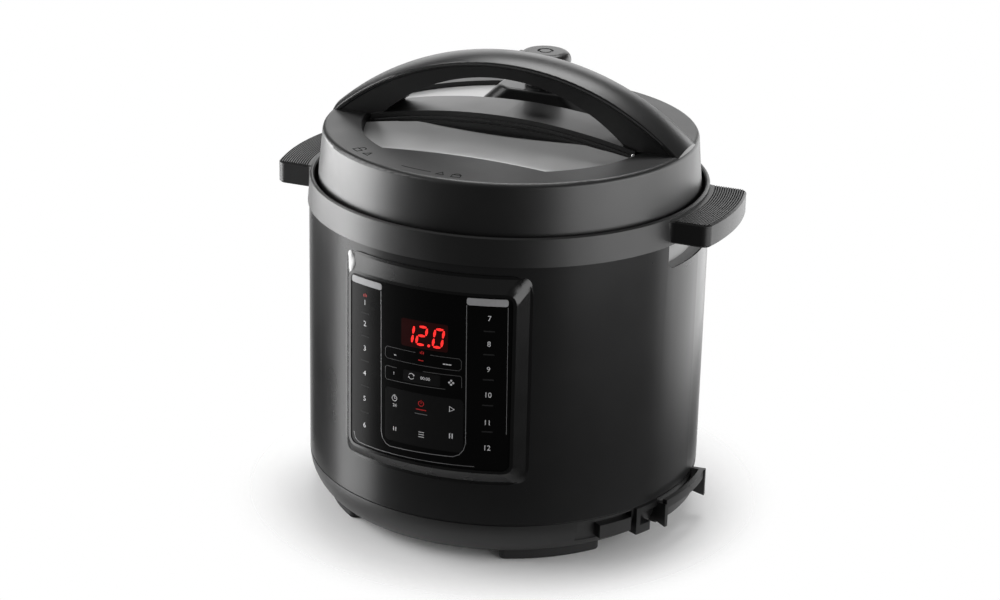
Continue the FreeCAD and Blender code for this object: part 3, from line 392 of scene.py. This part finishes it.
# %% [markdown]
# ## Ribbed handles
# The tops of the side handles are ribbed for grip. The grooves between the ribs are cut in the tool and stay
# rough, so they look darker than the polished ribs. A mask finds them by height and by distance from the
# middle of the pot, and makes the collar's plastic dull there; painting by hand would not follow a change.

# %% Dull grooves
groove_low, groove_high = 0.2347, 0.2358
handle_from, handle_to = 0.1425, 0.1640


def between(tree, value, low, high):
    """A mask that is 1 where a value lies between two limits."""
    above = new_node(tree, "Math", "GREATER_THAN")
    above.inputs[1].default_value = low
    under = new_node(tree, "Math", "LESS_THAN")
    under.inputs[1].default_value = high
    both = new_node(tree, "Math", "MULTIPLY")
    join_nodes(tree, (value, above.inputs[0]), (value, under.inputs[0]),
               (above.outputs["Value"], both.inputs[0]), (under.outputs["Value"], both.inputs[1]))
    return both.outputs["Value"]


tree = finish("ribbed_plastic", grain, **grained).node_tree
roughness = tree.nodes["Principled BSDF"].inputs["Roughness"]
grained_gloss = roughness.links[0].from_socket
place = new_node(tree, "TexCoord").outputs["Object"]
height = new_node(tree, "SeparateXYZ")
in_groove = new_node(tree, "Math", "MULTIPLY")
dull = new_node(tree, "Math", "MAXIMUM")
join_nodes(tree,
           (place, height.inputs["Vector"]),
           (between(tree, height.outputs["Z"], groove_low, groove_high), in_groove.inputs[0]),
           (between(tree, axis_distance(tree, place), handle_from, handle_to), in_groove.inputs[1]),
           (in_groove.outputs["Value"], dull.inputs[0]),
           (grained_gloss, dull.inputs[1]),
           (dull.outputs["Value"], roughness))
print("grooves from", groove_low, "to", groove_high)

# %% [markdown]
# ## Metals, pale mouldings and painted light in the pockets
# Inside the pot we meet the working metals: spun stainless steel, a speckled non-stick coating, cast
# aluminium, a heat-stained element and zinc-plated hardware. Silicone seals are milky and dull, the pockets
# under the handles get a pale grey that is painted light from the right, and thin satin plates line the
# hollows of the lid.

# %% Metals and mouldings
finish("spun_steel", rings, {}, (0.52, 0.52, 0.53), (0.62, 0.62, 0.63), (0.22, 0.32), bump=0.12, Metallic=1)
finish("non_stick", grain, {"Pits per metre": 700, "Cloud per metre": 900}, (0.03, 0.03, 0.032),
       (0.075, 0.075, 0.08), (0.32, 0.42), bump=0.08)
finish("cast_aluminium", rings, {"Rings per metre": 500}, (0.58, 0.58, 0.59), (0.68, 0.68, 0.7), (0.3, 0.42),
       bump=0.15, Metallic=1)
finish("stained_tube", grain, {"Cloud per metre": 60}, (0.16, 0.13, 0.11), (0.34, 0.31, 0.3), (0.35, 0.5),
       Metallic=1)
finish("satin_plate", grain, {"Pits per metre": 1600, "Cloud per metre": 30}, (0.52, 0.52, 0.52),
       (0.6, 0.6, 0.6), (0.36, 0.44), bump=0.1, Metallic=0.4)
finish("drawn_wire", grain, {"Cloud per metre": 200}, (0.45, 0.45, 0.45), (0.6, 0.6, 0.6), (0.25, 0.35),
       Metallic=1)
finish("zinc_plate", grain, {"Cloud per metre": 120}, (0.5, 0.51, 0.5), (0.66, 0.66, 0.62), (0.3, 0.42),
       Metallic=1)
finish("turned_brass", rings, {"Centre Y": 0.062, "Rings per metre": 2500}, (0.62, 0.45, 0.18),
       (0.76, 0.58, 0.27), (0.22, 0.32), bump=0.1, Metallic=1)
finish("polished_pin", grain, {"Cloud per metre": 150}, (0.6, 0.6, 0.6), (0.74, 0.74, 0.74), (0.15, 0.22),
       Metallic=1)
# The pockets' pale grey is painted light: it stands for the soft box light they catch from the right.
finish("pocket_painted_light", grain, {"Pits per metre": 1200}, (0.3, 0.3, 0.3), (0.36, 0.36, 0.36), (0.5, 0.6),
       bump=0.15)
finish("milky_silicone", grain, {"Cloud per metre": 40}, (0.66, 0.65, 0.61), (0.76, 0.75, 0.71), (0.42, 0.55),
       Subsurface_Weight=0.2, Subsurface_Scale=0.004)
finish("red_silicone", grain, {"Cloud per metre": 60}, (0.4, 0.03, 0.025), (0.52, 0.05, 0.04), (0.4, 0.5))
finish("smoky_cup", grain, {"Cloud per metre": 50}, (0.1, 0.105, 0.11), (0.14, 0.145, 0.15), (0.14, 0.2),
       bump=0.03)
finish("white_moulding", grain, {}, (0.66, 0.66, 0.63), (0.74, 0.74, 0.71), (0.45, 0.55))
finish("board_laminate", grain, {"Cloud per metre": 90}, (0.02, 0.14, 0.06), (0.035, 0.22, 0.09), (0.3, 0.42))
finish("component_body", grain, {"Cloud per metre": 70}, (0.035, 0.035, 0.04), (0.07, 0.07, 0.08),
       (0.4, 0.55))
finish("display_body", grain, {"Cloud per metre": 80}, (0.18, 0.008, 0.008), (0.3, 0.012, 0.012), (0.2, 0.3))
print("all finishes:", len(finishes))

# %% [markdown]
# ## Dressing the solids
# Each solid keeps its mesh and only gets a new material in its slot. One table says which finish goes on
# which pieces, so a change of mind is one line.

# %% Dress every solid
wears = {
    "satin_paint": "outer_shell",
    "grained_plastic": "lid_cover base_moulding cup_bay",
    "ribbed_plastic": "top_collar",
    "polished_plastic": "lid_handle handle_bridge valve_deck steam_knob cord_cleat",
    "panel_film": "panel_overlay",
    "panel_frame": "panel_bezel",
    "black_rubber": "rubber_feet cord_gland",
    "pocket_painted_light": "finger_pockets",
    "satin_plate": "scoop_plates",
    "spun_steel": "outer_pot lid_pan gasket_rack vent_shield",
    "non_stick": "inner_pot",
    "cast_aluminium": "heating_plate sensor_plunger",
    "stained_tube": "heating_element",
    "drawn_wire": "sensor_spring",
    "zinc_plate": "sensor_bracket board_screws support_posts base_screws handle_screws lid_screws",
    "turned_brass": "vent_nut",
    "polished_pin": "vent_pipe float_pin",
    "milky_silicone": "sealing_ring float_bush",
    "red_silicone": "float_cap",
    "smoky_cup": "condensate_cup",
    "white_moulding": "thermal_cutout",
    "board_laminate": "control_board power_board",
    "component_body": "panel_carrier power_components",
    "display_body": "display_module",
}
dressed = 0
for finish_name, names in wears.items():
    for name in names.split():
        for slot in nodes[name].material_slots:
            slot.material = finishes[finish_name]
        dressed += 1
print("dressed:", dressed, "of", len(nodes))

# %% [markdown]
# ## Inks
# Printed marks are inks on the panel film, and ink has a texture too: it lies a little unevenly. Silver ink
# carries metal flakes, the lit figures glow by themselves, and the marks on the lid are only a deeper,
# dull black.

# %% Inks
ink_gloss = (0.35, 0.45)
for name, cloud, dark, light in (("pale_ink", 500, 0.33, 0.4), ("white_ink", 600, 0.66, 0.76),
                                 ("dim_ink", 600, 0.07, 0.1)):
    finish(name, grain, {"Cloud per metre": cloud}, grey(dark), grey(light), ink_gloss, bump=0.02)
finish("silver_ink", grain, {"Cloud per metre": 700}, grey(0.24), grey(0.34), (0.3, 0.42), bump=0.02,
       Metallic=0.4)
finish("faint_ink", grain, {"Cloud per metre": 600}, grey(0.02), grey(0.03), ink_gloss, bump=0.02,
       Specular_IOR_Level=0.1)
finish("red_ink", grain, {"Cloud per metre": 600}, (0.5, 0.012, 0.012), (0.62, 0.02, 0.018), ink_gloss,
       bump=0.02)
finish("key_ink", grain, {"Cloud per metre": 300}, grey(0.008), grey(0.01), (0.28, 0.32), bump=0.02,
       Specular_IOR_Level=0.1)
finish("lid_mark", grain, {"Cloud per metre": 300}, grey(0.002), grey(0.004), (0.7, 0.8), bump=0.05,
       Specular_IOR_Level=0.1)
finish("window_tint", grain, {"Cloud per metre": 200}, (0.012, 0.004, 0.004), (0.018, 0.005, 0.005),
       (0.28, 0.32), bump=0.01, Specular_IOR_Level=0.1,
       Emission_Color=(1, 0.05, 0.04, 1), Emission_Strength=0.006)
finish("lit_red", grain, {"Cloud per metre": 400}, (0.6, 0.01, 0.01), (0.8, 0.02, 0.02), (0.3, 0.4),
       bump=0.01, Emission_Color=(1, 0.03, 0.025, 1), Emission_Strength=1.0)
print("finishes with the inks:", len(finishes))

# %% [markdown]
# ## Drawing strokes
# Each mark is drawn flat in millimetres, as a printer would: across, up, and a hair of thickness. A bar is a
# stretched cube and an arc is a small square carried round with spin. Small closed solids like these need no
# clean-up later.

# %% Strokes
ink_low = -0.05
ink_t = 0.15
ink_mid = ink_low + ink_t / 2


def bar(bm, start, end, width):
    """A straight stroke between two points."""
    run = Vector(end) - Vector(start)
    middle = (Vector(end) + Vector(start)) / 2
    turn = Matrix.Rotation(math.atan2(run.y, run.x), 4, "Z")
    size = Matrix.Diagonal((run.length + width, width, ink_t, 1))
    bmesh.ops.create_cube(bm, size=1, matrix=Matrix.Translation((middle.x, middle.y, ink_mid)) @ turn @ size)


def line(bm, points, width):
    """Strokes through several points."""
    for start, end in zip(points, points[1:]):
        bar(bm, start, end, width)


def whole_face(face):
    """A face with its edges and corners, as spin wants it."""
    return [face, *face.edges, *face.verts]


def arc(bm, centre, radius, start, end, width, steps=8):
    """A bent stroke round a centre, from one angle in degrees to another."""
    section = Matrix.Rotation(math.radians(90), 4, "X") @ Matrix.Diagonal((width, ink_t, 1, 1))
    first = Matrix.Rotation(math.radians(start), 4, "Z") @ Matrix.Translation((radius, 0, 0)) @ section
    to_centre = Matrix.Translation((centre[0], centre[1], ink_mid))
    made = bmesh.ops.create_grid(bm, x_segments=1, y_segments=1, size=0.5, matrix=to_centre @ first)
    face = made["verts"][0].link_faces[0]
    closed = abs(end - start) >= 360
    geom = list(face.edges) if closed else whole_face(face)
    if closed:
        bmesh.ops.delete(bm, geom=[face], context="FACES_ONLY")
    bmesh.ops.spin(bm, geom=geom, cent=(centre[0], centre[1], 0), axis=(0, 0, 1),
                   angle=math.radians(end - start), steps=steps, use_merge=closed)


print("ink:", ink_t, "mm thick")

# %% [markdown]
# ## Drawing fields and figures
# A field is a sheet with rounded corners, a spot is a filled circle, and a figure is text turned into a
# mesh. Each begins as one flat face and is then drawn out by the thickness of the ink.

# %% Fields and figures
figure_share = 0.69     # the height of a figure as a share of the size of its text


def draw_out(bm, face, shift):
    """Draw a face out into a solid and give back the corners that moved."""
    grown = bmesh.ops.extrude_face_region(bm, geom=[face])
    moved = [v for v in grown["geom"] if isinstance(v, bmesh.types.BMVert)]
    bmesh.ops.translate(bm, vec=shift, verts=moved)
    return moved


def tab(bm, low, high, corner):
    """A filled field with rounded corners."""
    middle = (Vector(low) + Vector(high)) / 2
    size = Vector(high) - Vector(low)
    place = Matrix.Translation((middle.x, middle.y, ink_low)) @ Matrix.Diagonal((size.x, size.y, 1, 1))
    made = bmesh.ops.create_grid(bm, x_segments=1, y_segments=1, size=0.5, matrix=place)
    rounded = bmesh.ops.bevel(bm, geom=made["verts"], offset=corner, offset_type="OFFSET", segments=4,
                              profile=0.5, affect="VERTICES", material=-1)
    field = max(rounded["verts"][0].link_faces, key=lambda f: f.calc_area())
    draw_out(bm, field, (0, 0, ink_t))


def spot(bm, centre, radius, corners, turn=0):
    """A filled round or pointed mark."""
    place = Matrix.Translation((centre[0], centre[1], ink_low)) @ Matrix.Rotation(math.radians(turn), 4, "Z")
    made = bmesh.ops.create_circle(bm, cap_ends=True, segments=corners, radius=radius, matrix=place)
    draw_out(bm, made["verts"][0].link_faces[0], (0, 0, ink_t))


def figure(bm, text, centre, height):
    """A number, as a mesh made from text."""
    curve = bpy.data.curves.new("figure", "FONT")
    curve.body = text
    curve.size = height / figure_share
    curve.align_x = "CENTER"
    curve.align_y = "CENTER"
    curve.extrude = ink_t / 2
    curve.resolution_u = 3
    writer = bpy.data.objects.new("figure", curve)
    scene.collection.objects.link(writer)
    mesh = bpy.data.meshes.new_from_object(writer.evaluated_get(bpy.context.evaluated_depsgraph_get()))
    mesh.transform(Matrix.Translation((centre[0], centre[1], ink_mid)))
    bm.from_mesh(mesh)
    bpy.data.objects.remove(writer)
    bpy.data.curves.remove(curve)
    bpy.data.meshes.remove(mesh)


print("figures fill", figure_share, "of their text size")

# %% [markdown]
# ## Bending a print onto a wall
# The flat drawing is cut every few millimetres, so that it has edges to bend at, and is then rolled onto a
# round wall: across becomes an angle, up stays up and thickness becomes distance from the axis. Shrinkwrap
# could press it on too, but rolling keeps every length as drawn.

# %% Bending helpers
panel_r = 146.5
cut_step = 2.5
weld_gap, cut_gap = 1e-7, 1e-5


def keep_piece(bm, name, body, ink):
    """Clean a drawing and make it a piece, which rides on a body if one is named."""
    bmesh.ops.remove_doubles(bm, verts=bm.verts, dist=weld_gap)
    bmesh.ops.recalc_face_normals(bm, faces=bm.faces)
    mesh = bpy.data.meshes.new(name)
    bm.to_mesh(mesh)
    bm.free()
    mesh.materials.append(finishes[ink])
    piece = bpy.data.objects.new(name, mesh)
    scene.collection.objects.link(piece)
    if body:
        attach(piece, body)
    print(name, len(mesh.polygons), "faces")
    return piece


def bend(bm, wall_r, lift=0.0, side=-1):
    """Bend a flat drawing onto the front of a round wall, or with side 1 onto the inside of its back."""
    reach = max(abs(v.co.x) for v in bm.verts)
    for i in range(-int(reach / cut_step), int(reach / cut_step) + 1):
        bmesh.ops.bisect_plane(bm, geom=bm.verts[:] + bm.edges[:] + bm.faces[:], dist=cut_gap,
                               plane_co=(i * cut_step, 0, 0), plane_no=(1, 0, 0))
    for v in bm.verts:
        angle = v.co.x / wall_r
        radius = (wall_r - side * (v.co.z + lift)) * mm
        v.co = Vector((radius * math.sin(angle), side * radius * math.cos(angle), v.co.y * mm))


def roll_on(bm, name, ink, lift=0.0):
    """Bend a flat drawing round the panel and keep it as a piece."""
    bend(bm, panel_r, lift)
    keep_piece(bm, name, "cooker_body", ink)


print("panel radius:", panel_r, "mm, cut every", cut_step, "mm")

# %% [markdown]
# ## Panel: tabs and lines
# Two pale header tabs stand over the two columns of keys, and a silver line runs round the middle field like
# a U. Thinner grey lines frame the two rows under the display, and short faint dashes part the keys of each
# column. Such print is usually on the back of a clear film. Ours lies a hair above it, where it can be seen.

# %% Panel tabs and lines
tab_corner = 1.6
fine_w, row_w, field_w, dash_w = 0.3, 0.35, 0.42, 0.9
bm = bmesh.new()
tab(bm, (-59.5, 193.2), (-32.4, 197.9), tab_corner)
tab(bm, (29.4, 193.6), (56.8, 198.6), tab_corner)
roll_on(bm, "panel_tabs", "pale_ink")

bm = bmesh.new()
line(bm, [(-32.9, 192.6), (-32, 91.7), (-30.9, 87.3), (-28.2, 84.1), (-24.9, 82.8), (21.6, 84.1), (26, 86),
          (29, 89.8), (30.3, 94.7), (29.4, 193)], field_w)
line(bm, [(-57.2, 84.4), (-55.6, 80), (-52.1, 77.9), (-36.5, 77.5), (36.3, 78.4)], fine_w)
line(bm, [(56.6, 193), (57.4, 103.1)], fine_w)
bar(bm, (-5.6, 111.5), (3.2, 111.5), row_w)
roll_on(bm, "panel_silver_lines", "silver_ink")

bm = bmesh.new()
line(bm, [(-6, 155), (-27.5, 155), (-29, 153.5), (-29, 148), (-27.5, 146.5), (25, 146.5), (26.5, 148),
          (26.5, 153.5), (25, 155), (5, 155)], fine_w)
line(bm, [(-20, 141), (-27.8, 141), (-29, 139.8), (-28.8, 132.3), (-27.6, 131.2), (15.6, 132.2)], row_w)
line(bm, [(0, 142.4), (25.8, 142.8), (26.9, 141.8), (27, 134.7)], row_w)
roll_on(bm, "panel_grey_lines", "dim_ink")

bm = bmesh.new()
right_rise = 2.6
for row in (173.4, 157, 139.1, 120.8, 101.8):
    bar(bm, (-50, row), (-43.6, row), dash_w)
    bar(bm, (41.4, row + right_rise), (47.8, row + right_rise), dash_w)
roll_on(bm, "panel_row_dashes", "faint_ink")

# %% [markdown]
# ## Panel: keys and window
# A flat keypad shows its keys only by print, so they are fields a shade lighter than the film. The display
# lies behind a faintly red window. Both sink a little, so that the signs stand clear of them.

# %% Panel keys and window
field_lift = -0.06
bm = bmesh.new()
tab(bm, (-29, 87.5), (28.5, 126), 3)
tab(bm, (-14.7, 133.2), (12.1, 141.3), 1)
roll_on(bm, "panel_key_fields", "key_ink", lift=field_lift)

bm = bmesh.new()
tab(bm, (-16.5, 158.4), (17.1, 177.8), 1.5)
roll_on(bm, "display_window", "window_tint", lift=field_lift)

# %% [markdown]
# ## Panel: white figures and signs
# Every programme key gets a plain number, and the working keys get the signs that such panels share: a clock
# for the timer, a triangle for start, two bars for pause, bent arrows for change.

# %% White figures and signs
key_h, small_h = 3.6, 2.2
left_keys, right_keys = -46.9, 44.6
bm = bmesh.new()
for number, height in enumerate((180.9, 165.8, 148.1, 130.1, 111.6, 92.0), start=1):
    figure(bm, str(number), (left_keys, height), key_h)
for number, height in enumerate((184.9, 166.9, 149.0, 130.7, 110.9, 92.5), start=7):
    figure(bm, str(number), (right_keys, height), key_h)

clock_x, clock_y = -21.4, 118.7
arc(bm, (clock_x, clock_y), 1.9, 0, 360, 0.35, 20)
bar(bm, (clock_x, clock_y), (clock_x, clock_y + 1.2), 0.3)
bar(bm, (clock_x, clock_y), (clock_x + 0.9, clock_y), 0.34)
bar(bm, (clock_x - 0.5, clock_y + 2.5), (clock_x + 0.5, clock_y + 2.5), 0.35)
figure(bm, "24", (-21.2, 113.6), small_h)

row_y = 137.4
arrows_x, arrows_r, arrow_from, arrow_to = -8.6, 2.0, 25, 155
for side in (0, 180):
    arc(bm, (arrows_x, row_y), arrows_r, side + arrow_from, side + arrow_to, 0.4)
    tip = math.radians(side + arrow_from)
    spot(bm, (arrows_x + arrows_r * math.cos(tip), row_y + arrows_r * math.sin(tip)), 0.8, 3, side - 60)
figure(bm, "00:00", (1.6, row_y), small_h)
cross_x, cross_r = 19.8, 1.4
for turn in (0, 90, 180, 270):
    angle = math.radians(turn)
    spot(bm, (cross_x + cross_r * math.cos(angle), row_y + cross_r * math.sin(angle)), 0.85, 4, turn)
figure(bm, "1", (-22, 136.6), 2.0)

line(bm, [(18.9, 116.6), (22.3, 118.4), (18.9, 120.2), (18.9, 116.6)], 0.4)
for side in (-0.9, 0.9):
    bar(bm, (20.2 + side, 97.7), (20.2 + side, 100.5), 0.8)
    bar(bm, (-21 + side, 95.4), (-21 + side, 97.8), 0.5)
for height in (94.9, 96.6, 98.3):
    bar(bm, (-2.6, height), (1, height), 0.4)
level_y, level_w = 150, 0.7
for middle, dashes in ((-20.6, 1), (17.3, 3)):
    for i in range(dashes):
        left = middle - dashes + 2 * i
        bar(bm, (left, level_y), (left + 1, level_y), level_w)
roll_on(bm, "panel_white_signs", "white_ink")

# %% [markdown]
# ## Panel: red signs
# Red marks what heats or stops: the broken ring for power with a line under it, the middle one of three
# levels, and two small groups of bars that stand for heat.

# %% Red signs
power_x = -1.2
bm = bmesh.new()
arc(bm, (power_x, 119.1), 1.9, -240, 60, 0.4, 16)
bar(bm, (power_x, 119.2), (power_x, 121.4), 0.4)
for i in range(2):
    bar(bm, (-3.2 + 2 * i, level_y), (-2.2 + 2 * i, level_y), level_w)
heat_step, heat_drop = 1.2, 0.7
for across, middle in ((-46.7, 186.2), (-1, 155.6)):
    foot = middle - heat_drop
    for i, tall in enumerate((1.0, 1.8, 1.3), start=-1):
        bar(bm, (across + heat_step * i, foot), (across + heat_step * i, foot + tall), 0.5)
bar(bm, (-4.6, 114.6), (2.2, 114.6), 0.6)
roll_on(bm, "panel_red_signs", "red_ink")

# %% [markdown]
# ## Display figures
# The display is the seven-bar kind: each figure is made of up to seven pointed bars, slanted a little. One
# six-sided bar, stretched and turned, makes them all, and a table says which bars each figure lights.

# %% Display figures
lit_bars = {"0": "abcdef", "1": "bc", "2": "abged"}
ends = {"a": ((0, 1), (1, 1)), "b": ((1, 1), (1, 0.5)), "c": ((1, 0.5), (1, 0)), "d": ((0, 0), (1, 0)),
        "e": ((0, 0.5), (0, 0)), "f": ((0, 1), (0, 0.5)), "g": ((0, 0.5), (1, 0.5))}
digit_w, digit_h, bar_w, bar_gap = 7.8, 14.4, 1.7, 0.35
digit_foot = 160.4
slant = math.tan(math.radians(8))
hexagon_half = math.sqrt(0.75)      # half the height of a six-sided face of radius 1


def lit_bar(bm, start, end):
    """One pointed bar, a little short of both ends."""
    run = Vector(end) - Vector(start)
    middle = (Vector(end) + Vector(start)) / 2
    along = run.normalized()
    half = run.length / 2
    size = Matrix.Diagonal((1 - bar_gap / run.length, bar_w / run.length / hexagon_half, 1, 1))
    turn = Matrix.Rotation(math.atan2(run.y, run.x), 4, "Z")
    place = Matrix.Translation((middle.x, middle.y, ink_low)) @ turn @ size
    ring = bmesh.ops.create_circle(bm, cap_ends=True, segments=6, radius=half, matrix=place)["verts"]
    # The four corners beside the points move outwards, so that the points are as steep on every bar.
    for v in ring:
        off = (v.co.xy - middle).dot(along)
        if abs(abs(off) - half / 2) < half / 4:
            v.co.xy = v.co.xy + along * (math.copysign(half - bar_w / 2, off) - off)
    draw_out(bm, ring[0].link_faces[0], (0, 0, ink_t))


bm = bmesh.new()
for text, left in (("1", -15.6), ("2", -6.2), ("0", 5.6)):
    for name in lit_bars[text]:
        corners = [(left + x * (digit_w - bar_w), digit_foot + y * (digit_h - bar_w)) for x, y in ends[name]]
        lit_bar(bm, *[(x + bar_w / 2, y + bar_w / 2) for x, y in corners])
spot(bm, (3.7, 161.4), 1.0, 12)
lean = Matrix(((1, slant, 0, 0), (0, 1, 0, 0), (0, 0, 1, 0), (0, 0, 0, 1)))
bmesh.ops.transform(bm, verts=bm.verts, space=Matrix.Translation((0, -digit_foot, 0)), matrix=lean)
roll_on(bm, "display_figures", "lit_red", lift=0.02)

# %% [markdown]
# ## Marks on the lid
# The lid's ring carries an open and a closed padlock, two pointers and a line that shows which way to turn.
# They are moulded a hair above the surface in a dull black, so they show only as slightly darker lines.

# %% Lid marks
ring_top = 272.0
mark_r = 119.5
mark_w, upright_w = 0.6, 0.56


def to_metres(bm):
    """Bring a drawing in millimetres to the scene's metres."""
    bmesh.ops.scale(bm, vec=(mm, mm, mm), verts=bm.verts)


def on_ring(bm, azimuth, first):
    """Carry what was drawn since a vertex to its place on the lid's ring, its top towards the middle."""
    bm.verts.ensure_lookup_table()
    angle = math.radians(azimuth)
    place = Matrix.Translation((mark_r * math.sin(angle), -mark_r * math.cos(angle), 0))
    bmesh.ops.transform(bm, verts=bm.verts[first:], matrix=place @ Matrix.Rotation(angle, 4, "Z"))


def padlock(bm, azimuth, lift):
    """A padlock, closed or with its bow lifted."""
    first = len(bm.verts)
    half, low, high, bow_r = 3, -3.2, 1, 2.1
    for height in (low, high):
        bar(bm, (-half, height), (half, height), mark_w)
    for side in (-half, half):
        bar(bm, (side, low), (side, high), upright_w)
    arc(bm, (0, high + lift), bow_r, 0, 180, mark_w)
    bar(bm, (-bow_r, high), (-bow_r, high + lift), mark_w)
    on_ring(bm, azimuth, first)


def pointer(bm, azimuth):
    """A triangle that points to the middle of the lid."""
    first = len(bm.verts)
    line(bm, [(-2.7, -2.2), (2.7, -2.2), (0, 3.1), (-2.7, -2.2)], mark_w)
    on_ring(bm, azimuth, first)


bm = bmesh.new()
padlock(bm, -36.5, 2.2)
pointer(bm, -31)
pointer(bm, -0.5)
padlock(bm, 4.8, 0.4)
arc(bm, (0, 0), mark_r, -105, -94, mark_w, 10)
to_metres(bm)
bmesh.ops.translate(bm, vec=(0, 0, ring_top * mm), verts=bm.verts)
keep_piece(bm, "lid_marks", "lid", "lid_mark")

# %% [markdown]
# ## Lips of the handle and the bridge
# The arch is made of two mouldings, a cap and the frame below it, and the cap's lower lip ends in a small
# polished bead that catches a thin line of light. The grooved front of the bridge has such lips too. A
# little disc carried round each arc's own centre with spin follows the curve exactly.

# %% Lips of the handle and the bridge
arch_face_y, arch_lip_r, arch_lip_top, arch_lip_half = 18.5, 190.2, 319.2, 117
bridge_face_y, bridge_r, bridge_top, bridge_half = 20.0, 406, 284.6, 94


def lip_bead(bm, arc_r, arc_top, y, half_length, bead_r):
    """A round bead along an upright arc, at one depth, as long on both sides."""
    axis_z = arc_top - arc_r
    half_turn = math.asin(half_length / arc_r)
    first = Matrix.Translation((0, y, axis_z)) @ Matrix.Rotation(-half_turn, 4, "Y")
    section = Matrix.Translation((0, 0, arc_r)) @ Matrix.Rotation(math.radians(90), 4, "Y")
    made = bmesh.ops.create_circle(bm, cap_ends=True, segments=10, radius=bead_r, matrix=first @ section)
    bmesh.ops.spin(bm, geom=whole_face(made["verts"][0].link_faces[0]), cent=(0, 0, axis_z), axis=(0, 1, 0),
                   angle=2 * half_turn, steps=56)


bm = bmesh.new()
for side in (-1, 1):
    lip_bead(bm, arch_lip_r, arch_lip_top, side * arch_face_y, arch_lip_half, 0.5)
to_metres(bm)
keep_piece(bm, "handle_lip_bead", "lid", "polished_lip")

bm = bmesh.new()
for drop in (4.3, 7.3):
    lip_bead(bm, bridge_r - drop, bridge_top - drop, -bridge_face_y, bridge_half, 0.35)
to_metres(bm)
keep_piece(bm, "bridge_lip_beads", "lid", "polished_lip")

# %% [markdown]
# ## Bridge pin
# A small polished pin shows at the front right end of the bridge under the handle. Its head is a disc
# drawn out into a short stub, and a bevel of several steps rounds the outer rim into a dome.

# %% Bridge pin
pin_at = (97, -20.02, 269.4)
pin_r, pin_stub, pin_round = 1.5, 1.05, 0.8
bm = bmesh.new()
face_out = Matrix.Translation(pin_at) @ Matrix.Rotation(math.radians(90), 4, "X")
made = bmesh.ops.create_circle(bm, cap_ends=True, segments=24, radius=pin_r, matrix=face_out)
tops = draw_out(bm, made["verts"][0].link_faces[0], (0, -pin_stub, 0))
rim = [e for e in bm.edges if e.verts[0] in tops and e.verts[1] in tops]
bmesh.ops.bevel(bm, geom=rim, offset=pin_round, offset_type="OFFSET", segments=4, profile=0.5,
                affect="EDGES", material=-1)
to_metres(bm)
keep_piece(bm, "bridge_pin", "lid", "polished_pin")

# %% [markdown]
# ## Level marks in the pot
# Cooking pots of this kind carry marks inside that tell how full they are. They are fired on as a pale
# line, so we draw them flat, like the panel's print, and bend them the other way, onto the inside of the
# back wall, where they can be read once the lid is off.

# %% Level marks in the pot
pot_r = 110.0
first_level, level_step, levels = 95.0, 28.0, 4
mark_from, half_from, mark_to = -6, 2, 10
bm = bmesh.new()
for level in range(levels):
    height = first_level + level * level_step
    half_way = height + level_step / 2
    bar(bm, (mark_from, height), (mark_to, height), 0.7)
    bar(bm, (half_from, half_way), (mark_to, half_way), 0.5)
    figure(bm, str(level + 1), (2 * mark_from, height), 6.0)
bend(bm, pot_r, side=1)
keep_piece(bm, "pot_level_marks", "cooker_body", "pale_ink")

# %% [markdown]
# ## Spring under the pot
# A coil spring lifts the heat sensor against the pot and is pressed shorter when the pot is set down. A stiff
# spring would be run through by the sensor, so we wind a new coil in its place: a small disc carried round by
# spin, a little higher with each step.

# %% Spring under the pot
coil_r, wire_r = 5.0, 0.5
coil_from, coil_to = 38.6, 49.4
turns, steps_a_turn = 5, 24
coil_steps = turns * steps_a_turn
rise = (0, 0, (coil_to - coil_from) / coil_steps)
bm = bmesh.new()
wire_end = Matrix.Translation((coil_r, 0, coil_from)) @ Matrix.Rotation(math.radians(90), 4, "X")
made = bmesh.ops.create_circle(bm, cap_ends=True, segments=10, radius=wire_r, matrix=wire_end)
bmesh.ops.spin(bm, geom=whole_face(made["verts"][0].link_faces[0]), cent=(0, 0, 0), axis=(0, 0, 1),
               dvec=rise, angle=math.radians(360 * turns), steps=coil_steps)
to_metres(bm)
spring = keep_piece(bm, "sensor_spring_coil", None, "drawn_wire")
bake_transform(spring)
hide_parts("sensor_spring")
